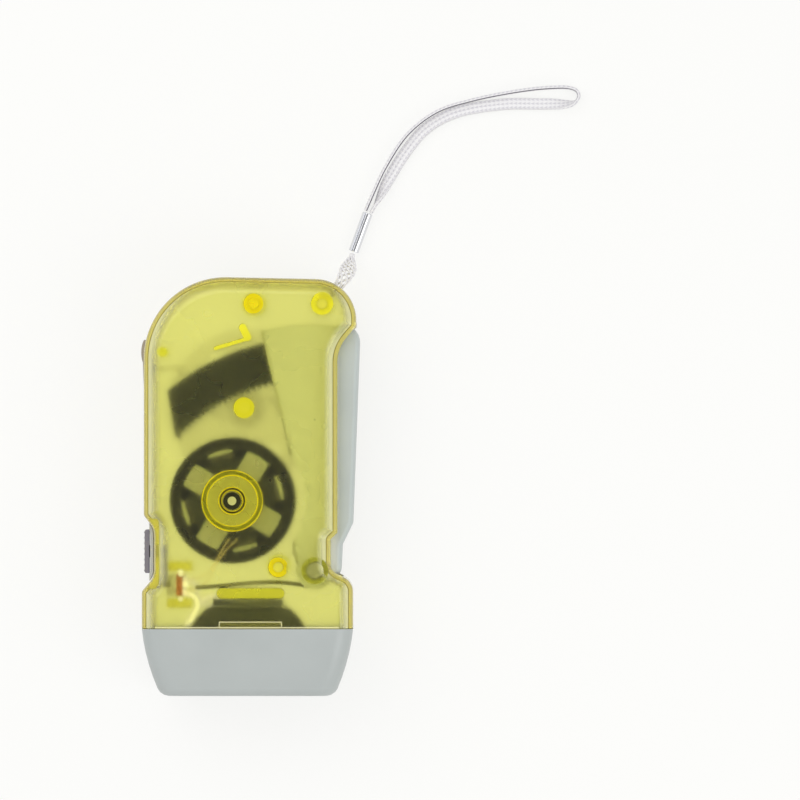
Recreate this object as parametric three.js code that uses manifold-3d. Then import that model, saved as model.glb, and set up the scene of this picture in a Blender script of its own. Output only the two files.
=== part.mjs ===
// Squeeze-lever dynamo flashlight, lying on its back: lamp head towards -Y, hand strap towards +Y,
// front face up. Lengths are millimetres. The layout below starts at the seam between case and
// head (y = 0), on the centre line (x = 0) and on the rear face (z = 0).
import * as THREE from 'three';
import * as BufferGeometryUtils from 'three/addons/utils/BufferGeometryUtils.js';
import Module from 'manifold-3d';

const wasm = await Module();
wasm.setup();

// Clearances
const runGap = 0.3;
const seatGap = 0.3;
const seamGap = 0.2;
const cutOverrun = 1;
const weldDepth = 0.6;

// Gear train: an inner-toothed sector drives a pinion, whose wheel drives the flywheel's pinion
const gearModule = 0.5;
const sectorTeethInCircle = 192;
const sectorTeeth = 18;
const drivePinionTeeth = 14;
const driveGearTeeth = 78;
const flywheelPinionTeeth = 16;
const pressureAngle = 25;
const toothTipHeight = 0.4;
const toothRootDepth = 0.6;
const toothGap = 0.14;
const sectorPitchRadius = gearModule * sectorTeethInCircle / 2;
const drivePinionPitchRadius = gearModule * drivePinionTeeth / 2;
const driveGearPitchRadius = gearModule * driveGearTeeth / 2;
const flywheelPinionPitchRadius = gearModule * flywheelPinionTeeth / 2;
const sectorToGear = sectorPitchRadius - drivePinionPitchRadius;
const gearToFlywheel = driveGearPitchRadius + flywheelPinionPitchRadius;

// Case depth, on which the depths of the lever, flywheel and stator hang
const caseDepth = 29;

// Where the axes stand
const pivotX = 16.9;
const pivotY = 14.4;
const gearBearing = 113.55;
const flywheelBearing = -97.2;
const gearX = pivotX + sectorToGear * cosine(gearBearing);
const gearY = pivotY + sectorToGear * sine(gearBearing);
const flywheelX = gearX + gearToFlywheel * cosine(flywheelBearing);
const flywheelY = gearY + gearToFlywheel * sine(flywheelBearing);

// Sector gear
const sectorRim = 10.6;
const sectorThickness = 3;
const sectorTeethStart = 134.8;
const sectorEndOuter = 129.6;
const sectorEndInner = 136.3;
const sectorEndInset = 1.4;
const sectorHiddenEnd = 84;
const sectorOuterRadius = sectorPitchRadius + sectorRim;

// Lever
const leverTipWidth = 3.1;
const leverTipRadius = sectorOuterRadius + leverTipWidth;
const leverRoom = 6;
const leverWall = 1.8;
const leverFace = 2;
const leverEdgeRadius = 1.4;
const leverGripX = 11.45;
const leverGripLowX = 9.6;
const leverGripRadius = 4.5;
const leverHeelX = 6.6;
const leverHeelY = -1.05;
const leverHeelRadius = 2;
const leverWaistX = 6.95;
const leverWaistY = 6.4;
const leverWaistRadius = 1.5;
const leverShoulderY = 11.9;
const leverShoulderRadius = 1;
const leverBackX = -14.2;
const leverBackLowX = -6.7;
const leverBackLowY = 30.6;
const leverHubFaceRadius = 4.8;
const leverHubRadius = 3.3;
const leverFlywheelRoom = 2.1;
const springWindowTop = 5.4;
const sectorWindowFrom = 93;
const leverBossRadius = 1.9;

// Pivot pin and case rings round it
const pivotPinRadius = 1.95;
const pivotRingRadius = 3.4;

// Return spring
const springWireRadius = 0.4;
const springCoilRadius = 4.3;
const springPitch = 1.3;
const springHalfTurns = 9;
const springStepsPerTurn = 8;
const springSides = 5;
const springLegReach = 30;
const springLegRise = 0.8;
const springHookReach = 5.6;

// Flywheel and magnet
const flywheelRadius = 16.5;
const flywheelDepthShare = 0.38;
const flywheelDepth = flywheelDepthShare * caseDepth;
const flywheelRim = 1.2;
const flywheelFloor = 1.2;
const flywheelHubRadius = 3;
const magnetThickness = 1.5;
const magnetEndGap = 0.4;
const shaftRadius = 1.1;
const bushLift = 3.3;
const magnetInnerRadius = flywheelRadius - flywheelRim - seatGap - magnetThickness;

// Stator
const statorRadius = 12.9;
const statorSheet = 0.9;
const statorHubRadius = 7.4;
const statorArmWidth = 6.2;
const statorArmAngle = 59;
const statorRearTurn = 46;
const statorArms = 4;
const clawThickness = 1.1;
const statorLift = 0.7;
const coreRadius = 2.9;
const coreWall = 1.1;
const bobbinRadius = 10.6;
const bobbinWall = 0.8;
const bobbinFlange = 0.9;
const windingInset = 0.6;

// Case
const caseWall = 1.7;
const caseEdgeRadius = 4.5;
const caseHalfWidth = 26.5;
const caseBackX = -26;
const caseGripX = 22.6;
const caseWaistX = 20.9;
const caseNoseX = 27.7;
const caseNoseRadius = 9;
const caseNoseLean = 0.45;
const caseBackRadius = 20.5;
const caseFlareY = 11.6;
const caseFlareRadius = 4;
const caseWaistLowY = 14.4;
const caseWaistRadius = 2.5;
const caseStepY = 22.2;
const caseStepRadius = 0.6;
const caseShoulderY = 70.1;
const caseShoulderRadius = 11.5;
const caseNoseRoom = 12.3;
const caseTopFall = 1.1;
const slotRoom = 0.5;
const leastFillet = 0.3;
const caseNoseLowY = pivotY + leverTipRadius - slotRoom;
const caseTopY = pivotY + leverTipRadius + caseNoseRoom;
const slotTopY = pivotY + leverTipRadius + slotRoom;
const bossRise = 0.7;

// Recess for the switch, in the left side
const recessX = -23.45;
const recessHighY = 28.2;
const recessTopY = 24.9;
const recessBottomY = 12.8;
const recessLowY = 9.2;
const recessRadius = 5;
const recessLipRadius = 1.5;

// Posts, ribs and pins of the case
const screwPostRadius = 2.5;
const screwPillarRadius = 3;
const topScrewX = 1.5;
const topScrewY = 81.3;
const strapPostX = 18.7;
const strapPostY = 81.3;
const strapPostRadius = 2.8;
const lowScrewX = 7.7;
const lowScrewY = 15.2;
const screwPlaces = [[topScrewX, topScrewY], [lowScrewX, lowScrewY], [strapPostX, strapPostY]];
const locatorX = -21.3;
const locatorY = 69.2;
const locatorRadius = 1.26;
const gearPostRadius = 2.64;
const statorRingRadius = 7.75;
const statorRingWall = 1.5;
const shaftRingRadius = 3.56;
const shaftRingWall = 1.06;
const stopRibWidth = 1.26;
const stopRibDepth = 12;
const stopRibX = 0.2;
const stopRibY = 72.6;
const stopRibRun = 9;
const stopRibRise = 4;
const stopRibTilt = 197;
const stopRibKnee = 117;
const springRibX = 0.8;
const springRibLength = 17;
const springRibY = 8.7;
const springRibWidth = 2.6;
const switchRibLength = 6.4;
const switchRibWidth = 2.4;
const switchRibHighY = 15.3;
const switchRibLowY = 6;

// Screws
const screwRadius = 1;
const screwHeadRadius = 1.8;
const screwHeadHeight = 1.2;
const screwHeadSink = 1.1;
const screwBiteDepth = 6;
const screwDriveWidth = 0.6;
const smallScrewRadius = 0.75;
const smallScrewHeadRadius = 1.6;
const smallScrewHeadHeight = 0.8;
const smallScrewLength = 7;
const smallScrewRingRadius = 53;
const smallScrewBearings = [97, 89];
const smallScrewPlaces = smallScrewBearings.map((bearing) => polar(smallScrewRingRadius, bearing));

// Ratchet clutch between drive pinion and drive gear
const gearWidth = 2;
const ratchetRadius = 5.8;
const ratchetThickness = 1.2;
const ratchetTeeth = 12;
const ratchetToothDepth = 0.8;
const pawlRingRadius = 9;
const pawlPinRadius = 0.7;
const pawlEyeRadius = 1.6;
const pawlThickness = 0.9;
const pawlReach = 4.2;
const pawlLean = 139;
const pawlBearings = [0, 180];
const gearHoleRadius = 2.7;
const gearHoleRingRadius = 13.4;
const gearHoles = 6;
const axleRadius = 1;
const axleBiteDepth = 3.5;

// Head, lens and reflector
const headLength = 17.1;
const headWall = 1.7;
const headEndRadius = 1.8;
const headTaper = 1.55;
const headBulge = 3.16;
const headDepthShare = 0.8;
const lensLip = 1;
const lensLipDepth = 0.9;
const lensThickness = 1.6;
const tabCentreX = 0.8;
const tabWidth = 15.8;
const tabReach = 1.7;
const tabRoot = 3;
const tabThickness = 1.2;
const reflectorBackY = 5.4;
const reflectorBackHalfWidth = 8.8;
const reflectorBackHalfDepth = 4.6;
const reflectorWall = 1;
const reflectorCurveShare = 0.55;
const reflectorRoundShare = 0.6;
const lensFront = headLength - lensLipDepth - seatGap;
const ledRadius = 2.3;
const ledHeight = 7;
const ledDomeAngles = [30, 60];
const ledSpacing = 5.5;
const ledPlaces = [-ledSpacing, 0, ledSpacing];
const ledBaseY = reflectorBackY + seatGap / 2;
const boardThickness = 1.4;

// Switch
const knobLength = 10.9;
const knobDepth = 7;
const knobX = -26.1;
const knobHeight = 0.7;
const knobCentreY = 19.1;
const knobRibs = 7;
const knobRibDepth = 0.35;
const switchTravel = 1;
const plateThickness = 0.8;
const plateGap = 0.3;
const plateMargin = 1;
const plateLength = 14.7;
const stemLength = 3;
const stemDepth = 3;
const switchArmThickness = 0.7;
const switchBodyLength = 5.4;
const switchBodyWidth = 2.2;
const switchBodyDepth = 6;
const switchNubLength = 1;
const switchNubReach = 0.9;
const switchBoardThickness = 1.6;
const switchBoardDepth = 11;
const switchArmX = recessX + caseWall + runGap;
const switchBodyX = switchArmX + switchArmThickness + runGap;
const switchBoardX = switchBodyX + switchBodyWidth + seatGap;
const switchCentreY = (switchRibHighY + switchRibLowY) / 2;

// Lock slider
const lockPlateLow = 60.7;
const lockPlateHigh = 72.3;
const lockPlateDepth = 7;
const lockPlateX = -26.2;
const lockPlateThickness = 0.8;
const lockThumbLow = 66.5;
const lockThumbHigh = 70.8;
const lockThumbRise = 0.6;
const lockStemLow = 63;
const lockStemHigh = 66.2;
const lockStemDepth = 4;
const lockFlangeThickness = 1;
const lockFlangeSpread = 1.3;
const lockHookX = -16.5;
const lockHookWidth = 1.5;
const lockHookDrop = 1.1;
const lockHookThickness = 1.6;
const lockTravel = 1.5;

// Wires inside the case
const leadRadius = 0.25;
const lampWireRadius = 0.5;
const wireSides = 6;
const wireSteps = 14;
const coilLeadRoutes = [
  [
    [-4.6, 22.4, -0.5], [-5, 19, -0.2], [-6.2, 16.2, -0.1], [-8.6, 13.2, -0.9],
    [-12, 12.2, -2.1], [-15.9, 12, -3.3],
  ],
  [
    [-2.6, 22.2, -0.5], [-3.2, 18.6, -0.2], [-4.8, 15.4, -0.3], [-8.2, 11.4, -1.7],
    [-12, 9.6, -3.7], [-15.9, 9.2, -5.3],
  ],
];
const lampWireRoutes = [
  [
    [-15.7, 9.2, 3.1], [-13.4, 8.4, 3.5], [-12.4, 6.3, 4.1], [-13, 3.8, 5.9], [-14.2, 1.4, 7.5],
    [-12.6, 1.6, 8.1], [-11.4, 4.6, 6.3], [-10.4, 7.4, 3.9], [-8, 8.1, 2.5],
  ],
  [
    [-15.7, 12, -3.5], [-13.2, 10.6, -6.9], [-12.4, 6.4, -8.9], [-9.4, 5.4, -9.1], [-7.4, 7.4, -7.5],
    [-6.4, 8.1, -3.9],
  ],
];

// Hand strap
const stringRadius = 0.9;
const stringSides = 8;
const stringSteps = 16;
const crimpLength = 10.4;
const crimpRadius = 1.3;
const crimpX = 26.5;
const crimpY = 94.7;
const crimpBearing = 69.8;
const strapWidth = 3;
const strapThickness = 1;
const strapBevel = 0.25;
const strapSteps = 56;
const strapHoleRadius = 1.6;
const strapHoleBearing = 48.7;
const cordHeight = 1.7;
const stringRoute = [
  [20.9, 83.75], [23, 86.2], [24.3, 88.2], [25.2, 90.2], [25.6, 91.8], [25.9, 93], [26.2, 94.1],
];
const stringHeightShares = [1, 1, 0.91, 0.61, 0.26, 0.07, 0.01];
const strapRoute = [
  [29.5, 105.1], [31.2, 109], [34.6, 116.2], [40.2, 124.5], [47.5, 130.1], [56.3, 133],
  [68.5, 135.4], [75.8, 136.2], [81, 136.2], [83, 135.4], [83.5, 134], [82.4, 132.4],
  [75, 132.1], [64.4, 132], [52, 129.8], [44.9, 125.9], [40.2, 120.6], [35.6, 113.3],
  [32.5, 107.3], [30.9, 104.5],
];

// Facet counts
const fineSides = 36;
const plainSides = 16;
const smallSides = 12;
const tipSides = 120;
const arcStep = 14;
const edgeSteps = 3;
const headSteps = 5;
const filletReachShare = 0.48;
const flankSteps = 2;
const wedgeSteps = 9;

// Heights of the layers, from the rear wall up
const partingZ = caseDepth / 2;
const rearFloorZ = caseWall;
const frontCeilingZ = caseDepth - caseWall;
const rearBossZ = rearFloorZ + bossRise;
const gearZ = rearBossZ + runGap;
const ratchetZ = gearZ + gearWidth + runGap;
const pinionZ = ratchetZ + ratchetThickness;
const sectorZ = pinionZ + 2 * runGap;
const pinionTopZ = sectorZ + sectorThickness + runGap;
const leverZ = leverRoom;
const leverTopZ = caseDepth - leverRoom;
const leverFaceZ = leverTopZ - leverFace;
const flywheelZ = pinionZ + runGap;
const magnetZ = flywheelZ + flywheelFloor + seatGap;
const statorZ = flywheelZ + flywheelFloor + statorLift;
const statorTopZ = flywheelZ + flywheelDepth + statorSheet + runGap;
const statorRingZ = statorTopZ + seatGap;
const springTopZ = leverFaceZ - seatGap - springWireRadius;
const screwSeatZ = screwHeadSink + screwHeadHeight + seatGap;
const gearAxleTopZ = pinionTopZ + runGap + axleBiteDepth;
const smallScrewTopZ = sectorZ + smallScrewLength;
const blindFloorZ = rearFloorZ / 2;

// The finishes of the real materials
const materials = {
  yellowShell: finish('#d6d832', 0.25, 0),
  greyPlastic: finish('#b9c0bf', 0.5, 0),
  darkPlastic: finish('#3c3f33', 0.55, 0),
  whitePlastic: finish('#e6e4da', 0.5, 0),
  blackRubber: finish('#26261f', 0.8, 0),
  steel: finish('#b9bab2', 0.3, 1),
  darkSteel: finish('#4c4b40', 0.45, 1),
  magnet: finish('#33332e', 0.7, 0.4),
  brass: finish('#c9a24a', 0.35, 1),
  copper: finish('#b5652d', 0.4, 1),
  chrome: finish('#e3e5e6', 0.1, 1),
  clear: finish('#eef4f6', 0.08, 0),
  boardBrown: finish('#9a5a2a', 0.6, 0),
  boardGreen: finish('#2f6b45', 0.6, 0),
  creamWire: finish('#f0e6b4', 0.6, 0),
  knobGrey: finish('#8f8d96', 0.5, 0),
  lockGrey: finish('#a39a8e', 0.5, 0),
  strapWhite: finish('#eceaea', 0.9, 0),
};

function finish(color, roughness, metalness) {
  return new THREE.MeshStandardMaterial({ color, roughness, metalness });
}

function cosine(degrees) {
  return Math.cos(THREE.MathUtils.degToRad(degrees));
}

function sine(degrees) {
  return Math.sin(THREE.MathUtils.degToRad(degrees));
}

function polar(radius, degrees) {
  return new THREE.Vector2(radius * cosine(degrees), radius * sine(degrees));
}

// A closed mesh becomes a solid that can be joined and cut.
function toSolid(geometry) {
  const bare = geometry.clone();
  bare.deleteAttribute('normal');
  bare.deleteAttribute('uv');
  const merged = BufferGeometryUtils.mergeVertices(bare);
  return new wasm.Manifold(new wasm.Mesh({
    numProp: 3,
    vertProperties: new Float32Array(merged.attributes.position.array),
    triVerts: new Uint32Array(wholeTriangles(merged.index.array)),
  }));
}

// Leaves out triangles that shrank to a line when their corners merged.
function wholeTriangles(index) {
  const kept = [];
  for (let i = 0; i < index.length; i += 3) {
    const [a, b, c] = index.slice(i, i + 3);
    if (a !== b && b !== c && c !== a) {
      kept.push(a, b, c);
    }
  }
  return kept;
}

function toGeometry(solid) {
  const mesh = solid.getMesh();
  const geometry = new THREE.BufferGeometry();
  geometry.setAttribute('position', new THREE.BufferAttribute(new Float32Array(mesh.vertProperties), 3));
  geometry.setIndex(new THREE.BufferAttribute(new Uint32Array(mesh.triVerts), 1));
  geometry.computeVertexNormals();
  return geometry;
}

function joined(...solids) {
  return solids.reduce((whole, solid) => whole.add(solid));
}

function cutBy(blank, ...tools) {
  return tools.reduce((left, tool) => left.subtract(tool), blank);
}

// A prism over a closed outline of points, between two heights.
function prism(points, low, high) {
  const options = { depth: high - low, bevelEnabled: false };
  const geometry = new THREE.ExtrudeGeometry(new THREE.Shape(points), options);
  return toSolid(geometry.translate(0, 0, low));
}

function cylinder(radius, low, high, x = 0, y = 0, sides = plainSides) {
  const geometry = new THREE.CylinderGeometry(radius, radius, high - low, sides);
  geometry.rotateX(Math.PI / 2);
  return toSolid(geometry.translate(x, y, (low + high) / 2));
}

function tube(inner, outer, low, high, x = 0, y = 0, sides = plainSides) {
  const bore = cylinder(inner, low - cutOverrun, high + cutOverrun, x, y, sides);
  return cylinder(outer, low, high, x, y, sides).subtract(bore);
}

// A block between two opposite corners.
function block(x0, x1, y0, y1, z0, z1) {
  const geometry = new THREE.BoxGeometry(x1 - x0, y1 - y0, z1 - z0);
  return toSolid(geometry.translate((x0 + x1) / 2, (y0 + y1) / 2, (z0 + z1) / 2));
}

// A solid of revolution about Z from (radius, height) points, counter-clockwise, that close on
// themselves.
function turned(profile, sides = fineSides) {
  const points = [...profile, profile[0]].map(([radius, height]) => new THREE.Vector2(radius, height));
  return toSolid(new THREE.LatheGeometry(points, sides).rotateX(Math.PI / 2));
}

function flipped(geometry) {
  const index = geometry.index.array;
  for (let i = 0; i < index.length; i += 3) {
    [index[i], index[i + 1]] = [index[i + 1], index[i]];
  }
  return geometry;
}

// A closed solid through rings of equally many points, each ring counter-clockwise at its height.
function loft(rings) {
  const count = rings[0].points.length;
  const positions = rings.flatMap(({ points, z }) => points.flatMap((p) => [p.x, p.y, z]));
  const index = [];
  for (let ring = 0; ring < rings.length - 1; ring += 1) {
    for (let i = 0; i < count; i += 1) {
      const a = ring * count + i;
      const b = ring * count + (i + 1) % count;
      index.push(a, b, b + count, a, b + count, a + count);
    }
  }
  const last = (rings.length - 1) * count;
  for (const [a, b, c] of THREE.ShapeUtils.triangulateShape(rings[0].points, [])) {
    index.push(a, c, b);
  }
  for (const [a, b, c] of THREE.ShapeUtils.triangulateShape(rings[rings.length - 1].points, [])) {
    index.push(last + a, last + b, last + c);
  }
  const geometry = new THREE.BufferGeometry();
  geometry.setAttribute('position', new THREE.Float32BufferAttribute(positions, 3));
  geometry.setIndex(index);
  return toSolid(geometry);
}

function addPart(parent, name, solid, material) {
  const mesh = new THREE.Mesh(solid.isBufferGeometry ? solid : toGeometry(solid), material);
  mesh.name = name;
  parent.add(mesh);
  return mesh;
}

// Where two straight edges meet, each moved inwards by its own distance.
function movedCorner(previous, corner, next, insetIn, insetOut) {
  const into = corner.clone().sub(previous).normalize();
  const out = next.clone().sub(corner).normalize();
  const start = corner.clone().add(new THREE.Vector2(-into.y, into.x).multiplyScalar(insetIn));
  const end = corner.clone().add(new THREE.Vector2(-out.y, out.x).multiplyScalar(insetOut));
  const along = end.sub(start).cross(out) / into.cross(out);
  return start.add(into.multiplyScalar(along));
}

// An outline with round corners, moved inwards. A corner is {x, y, radius}; the edge that leaves a
// corner marked open stays where it is. Every inset gives the same number of points.
function roundedOutline(corners, inset) {
  const count = corners.length;
  const points = corners.map(({ x, y }) => new THREE.Vector2(x, y));
  const edgeInset = corners.map(({ open }) => (open ? 0 : inset));
  const moved = points.map((point, i) => movedCorner(
    points[(i + count - 1) % count], point, points[(i + 1) % count],
    edgeInset[(i + count - 1) % count], edgeInset[i],
  ));
  const outline = [];
  corners.forEach(({ radius }, i) => {
    const before = moved[(i + count - 1) % count];
    const after = moved[(i + 1) % count];
    outline.push(...filletPoints(before, moved[i], after, radius, inset));
  });
  return outline;
}

function filletPoints(before, corner, after, radius, inset) {
  if (!radius) {
    return [corner];
  }
  const into = corner.clone().sub(before);
  const out = after.clone().sub(corner);
  const turn = Math.atan2(into.cross(out), into.dot(out));
  const wanted = turn > 0 ? Math.max(radius - inset, leastFillet) : radius + inset;
  const halfTangent = Math.tan(Math.abs(turn) / 2);
  const reach = Math.min(wanted * halfTangent, filletReachShare * Math.min(into.length(), out.length()));
  const used = reach / halfTangent;
  const start = corner.clone().sub(into.clone().normalize().multiplyScalar(reach));
  const side = Math.sign(turn);
  const heading = into.angle();
  const centre = start.clone().add(new THREE.Vector2(-Math.sin(heading), Math.cos(heading))
    .multiplyScalar(side * used));
  const steps = Math.max(1, Math.round(THREE.MathUtils.radToDeg(Math.abs(turn)) / arcStep));
  const points = [];
  for (let step = 0; step <= steps; step += 1) {
    const angle = heading - side * Math.PI / 2 + turn * step / steps;
    points.push(new THREE.Vector2(Math.cos(angle), Math.sin(angle)).multiplyScalar(used).add(centre));
  }
  return points;
}

// A gear's outline. The same outline, with the tooth thickened instead of thinned, is the space
// between the teeth of a gear that is toothed inside.
function gearOutline(teeth, rootRadius, tipRadius, thicknessChange, steps, firstTooth) {
  const pitchRadius = gearModule * teeth / 2;
  const points = [];
  for (let tooth = 0; tooth < teeth; tooth += 1) {
    const centre = firstTooth + 360 * tooth / teeth;
    points.push(...toothFlanks(pitchRadius, rootRadius, tipRadius, thicknessChange, steps, centre));
  }
  return points;
}

function toothFlanks(pitchRadius, rootRadius, tipRadius, thicknessChange, steps, centre) {
  const radii = [];
  for (let step = 0; step <= steps; step += 1) {
    radii.push(rootRadius + (tipRadius - rootRadius) * step / steps);
  }
  const half = radii.map((radius) => toothHalfAngle(pitchRadius, radius, thicknessChange));
  const rising = radii.map((radius, i) => polar(radius, centre - half[i]));
  const falling = radii.map((radius, i) => polar(radius, centre + half[i])).reverse();
  return [...rising, ...falling];
}

function toothHalfAngle(pitchRadius, radius, thicknessChange) {
  const pressure = THREE.MathUtils.degToRad(pressureAngle);
  const baseRadius = pitchRadius * Math.cos(pressure);
  const local = Math.acos(Math.min(1, baseRadius / radius));
  const half = (Math.PI * gearModule / 2 + thicknessChange) / (2 * pitchRadius)
    + involute(pressure) - involute(local);
  return THREE.MathUtils.radToDeg(half);
}

function involute(angle) {
  return Math.tan(angle) - angle;
}

// A tube with a round or other outline along a route.
function swept(section, route, steps) {
  const points = route.map(([x, y, z]) => new THREE.Vector3(x, y, z));
  const path = new THREE.CatmullRomCurve3(points, false, 'centripetal');
  return new THREE.ExtrudeGeometry(new THREE.Shape(section), { steps, extrudePath: path });
}

function circleSection(radius, sides) {
  return Array.from({ length: sides }, (_, i) => polar(radius, 360 * i / sides));
}

// A straight bar of a given width from a point along a bearing.
function bar(x, y, length, width, bearing, low, high) {
  const along = polar(length, bearing);
  const side = polar(width / 2, bearing + 90);
  const start = new THREE.Vector2(x, y);
  const end = start.clone().add(along);
  const points = [
    start.clone().sub(side), end.clone().sub(side), end.clone().add(side), start.clone().add(side),
  ];
  return prism(points, low, high);
}

// Points of an arc about the origin, from one bearing to another.
function arcPoints(radius, from, to, steps) {
  return Array.from({ length: steps + 1 }, (_, i) => polar(radius, from + (to - from) * i / steps));
}

function wedge(inner, outer, from, to, low, high) {
  const points = [
    ...arcPoints(outer, from, to, wedgeSteps), ...arcPoints(inner, to, from, wedgeSteps),
  ];
  return prism(points, low, high);
}

function mirroredFrontToRear(solid) {
  const geometry = toGeometry(solid);
  geometry.scale(1, 1, -1);
  geometry.translate(0, 0, caseDepth);
  return toSolid(flipped(geometry));
}

// The case outline, counter-clockwise from the right end of the seam.
function caseCorners(seamY = 0) {
  return [
    { x: caseHalfWidth, y: seamY },
    { x: caseHalfWidth, y: caseFlareY, radius: caseFlareRadius },
    { x: caseWaistX, y: caseWaistLowY, radius: caseWaistRadius },
    { x: caseWaistX, y: caseStepY, radius: caseStepRadius },
    { x: caseGripX, y: caseStepY + caseGripX - caseWaistX, radius: caseStepRadius },
    { x: caseGripX, y: caseShoulderY, radius: caseShoulderRadius },
    { x: caseNoseX - caseNoseLean, y: caseNoseLowY, radius: caseStepRadius },
    { x: caseNoseX, y: caseTopY - caseTopFall, radius: caseNoseRadius },
    { x: caseBackX, y: caseTopY, radius: caseBackRadius },
    { x: caseBackX, y: recessHighY, radius: recessLipRadius },
    { x: recessX, y: recessTopY, radius: recessRadius },
    { x: recessX, y: recessBottomY, radius: recessRadius },
    { x: -caseHalfWidth, y: recessLowY, radius: recessLipRadius },
    { x: -caseHalfWidth, y: seamY, open: true },
  ];
}

// A body over an outline whose upper edge is rounded over.
function pillow(corners, inset, radius, low, high) {
  const rings = [{ points: roundedOutline(corners, inset), z: low }];
  for (let step = 0; step <= edgeSteps; step += 1) {
    const angle = 90 * step / edgeSteps;
    const points = roundedOutline(corners, inset + radius * (1 - cosine(angle)));
    rings.push({ points, z: high - radius + radius * sine(angle) });
  }
  return loft(rings);
}

// One half of the case with nothing in it, open at the parting plane and at the head.
function emptyHalf() {
  const outer = pillow(caseCorners(), 0, caseEdgeRadius, partingZ + seamGap / 2, caseDepth);
  const hollowCorners = caseCorners(-cutOverrun);
  const hollowRadius = caseEdgeRadius - caseWall;
  const hollow = pillow(hollowCorners, caseWall, hollowRadius, partingZ - cutOverrun, frontCeilingZ);
  return outer.subtract(hollow);
}

// What both halves lose: room for the lever, the switch, the lock and the hand strap.
function caseOpenings() {
  return joined(leverSlot(), switchSlot(), lockSlot(), strapHole());
}

function leverSlot() {
  const low = leverZ - slotRoom;
  const high = leverTopZ + slotRoom;
  const right = caseNoseX + leverGripX;
  const slot = block(pivotX, right, pivotY + leverHeelY - slotRoom, slotTopY, low, high);
  const heelSweep = Math.hypot(leverHeelX, leverHeelY) + slotRoom;
  return slot.add(cylinder(heelSweep, low, high, pivotX, pivotY, fineSides));
}

function switchSlot() {
  const halfLength = stemLength / 2 + switchTravel + runGap;
  const halfDepth = stemDepth / 2 + runGap;
  return block(
    caseBackX, recessX + caseWall + cutOverrun, knobCentreY - halfLength, knobCentreY + halfLength,
    partingZ - halfDepth, partingZ + halfDepth,
  );
}

function lockSlot() {
  const plateHalf = lockPlateDepth / 2 + runGap;
  const stemHalf = lockStemDepth / 2 + runGap;
  const floorX = lockPlateX + lockPlateThickness + runGap;
  const recess = block(
    lockPlateX - cutOverrun, floorX, lockPlateLow - runGap, lockPlateHigh + lockTravel + runGap,
    partingZ - plateHalf, partingZ + plateHalf,
  );
  const slot = block(
    lockPlateX, caseBackX + caseWall + cutOverrun, lockStemLow - runGap,
    lockStemHigh + lockTravel + runGap, partingZ - stemHalf, partingZ + stemHalf,
  );
  return recess.add(slot);
}

function strapHole() {
  const start = screwPillarRadius + runGap;
  const length = caseNoseRadius;
  const geometry = new THREE.CylinderGeometry(strapHoleRadius, strapHoleRadius, length, smallSides);
  geometry.translate(0, start + length / 2, 0);
  geometry.rotateZ(THREE.MathUtils.degToRad(strapHoleBearing - 90));
  return toSolid(geometry.translate(strapPostX, strapPostY, partingZ));
}

function switchRibs(low, high) {
  const left = recessX + caseWall + runGap + switchArmThickness + runGap;
  const right = left + switchRibLength;
  const half = switchRibWidth / 2;
  return [switchRibHighY, switchRibLowY].map((y) => block(left, right, y - half, y + half, low, high));
}

// The L-shaped rib that stops the squeezed lever.
function stopRib(low, high) {
  const run = bar(stopRibX, stopRibY, stopRibRun, stopRibWidth, stopRibTilt, low, high);
  const rise = bar(stopRibX, stopRibY, stopRibRise, stopRibWidth, stopRibKnee, low, high);
  const knee = cylinder(stopRibWidth / 2, low, high, stopRibX, stopRibY, smallSides);
  return joined(run, rise, knee);
}

// The thick rib with round ends that the spring's leg leans on.
function springRib(low, high) {
  const half = springRibLength / 2 - springRibWidth / 2;
  const end = springRibWidth / 2;
  const middle = block(springRibX - half, springRibX + half, springRibY - end, springRibY + end, low, high);
  const left = cylinder(end, low, high, springRibX - half, springRibY, smallSides);
  const right = cylinder(end, low, high, springRibX + half, springRibY, smallSides);
  return joined(middle, left, right);
}

function frontShell() {
  const low = partingZ + seamGap / 2;
  const high = frontCeilingZ + weldDepth;
  const inside = [
    cylinder(screwPostRadius, low, high, topScrewX, topScrewY),
    cylinder(screwPostRadius, low, high, lowScrewX, lowScrewY),
    cylinder(strapPostRadius, low, high, strapPostX, strapPostY),
    cylinder(locatorRadius, low, high, locatorX, locatorY, smallSides),
    cylinder(gearPostRadius, pinionTopZ + runGap, high, gearX, gearY),
    tube(pivotPinRadius + seatGap, pivotRingRadius, leverTopZ + slotRoom, high, pivotX, pivotY),
    tube(statorRingRadius - statorRingWall, statorRingRadius, statorRingZ, high,
      flywheelX, flywheelY, fineSides),
    tube(shaftRingRadius - shaftRingWall, shaftRingRadius, statorRingZ, high, flywheelX, flywheelY),
    stopRib(frontCeilingZ - stopRibDepth, high),
    springRib(springTopZ - 2 * springWireRadius, high),
    ...switchRibs(low, high),
  ];
  const pilotRadius = screwRadius + seatGap;
  const pilotTop = partingZ + screwBiteDepth + seatGap;
  const holes = [
    ...screwPlaces.map(([x, y]) => cylinder(pilotRadius, partingZ, pilotTop, x, y, smallSides)),
    cylinder(axleRadius + seatGap, pinionTopZ, gearAxleTopZ + seatGap, gearX, gearY, smallSides),
    cylinder(pivotPinRadius + seatGap, leverTopZ, frontCeilingZ, pivotX, pivotY),
    caseOpenings(),
  ];
  return cutBy(joined(emptyHalf(), ...inside), ...holes);
}

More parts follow.
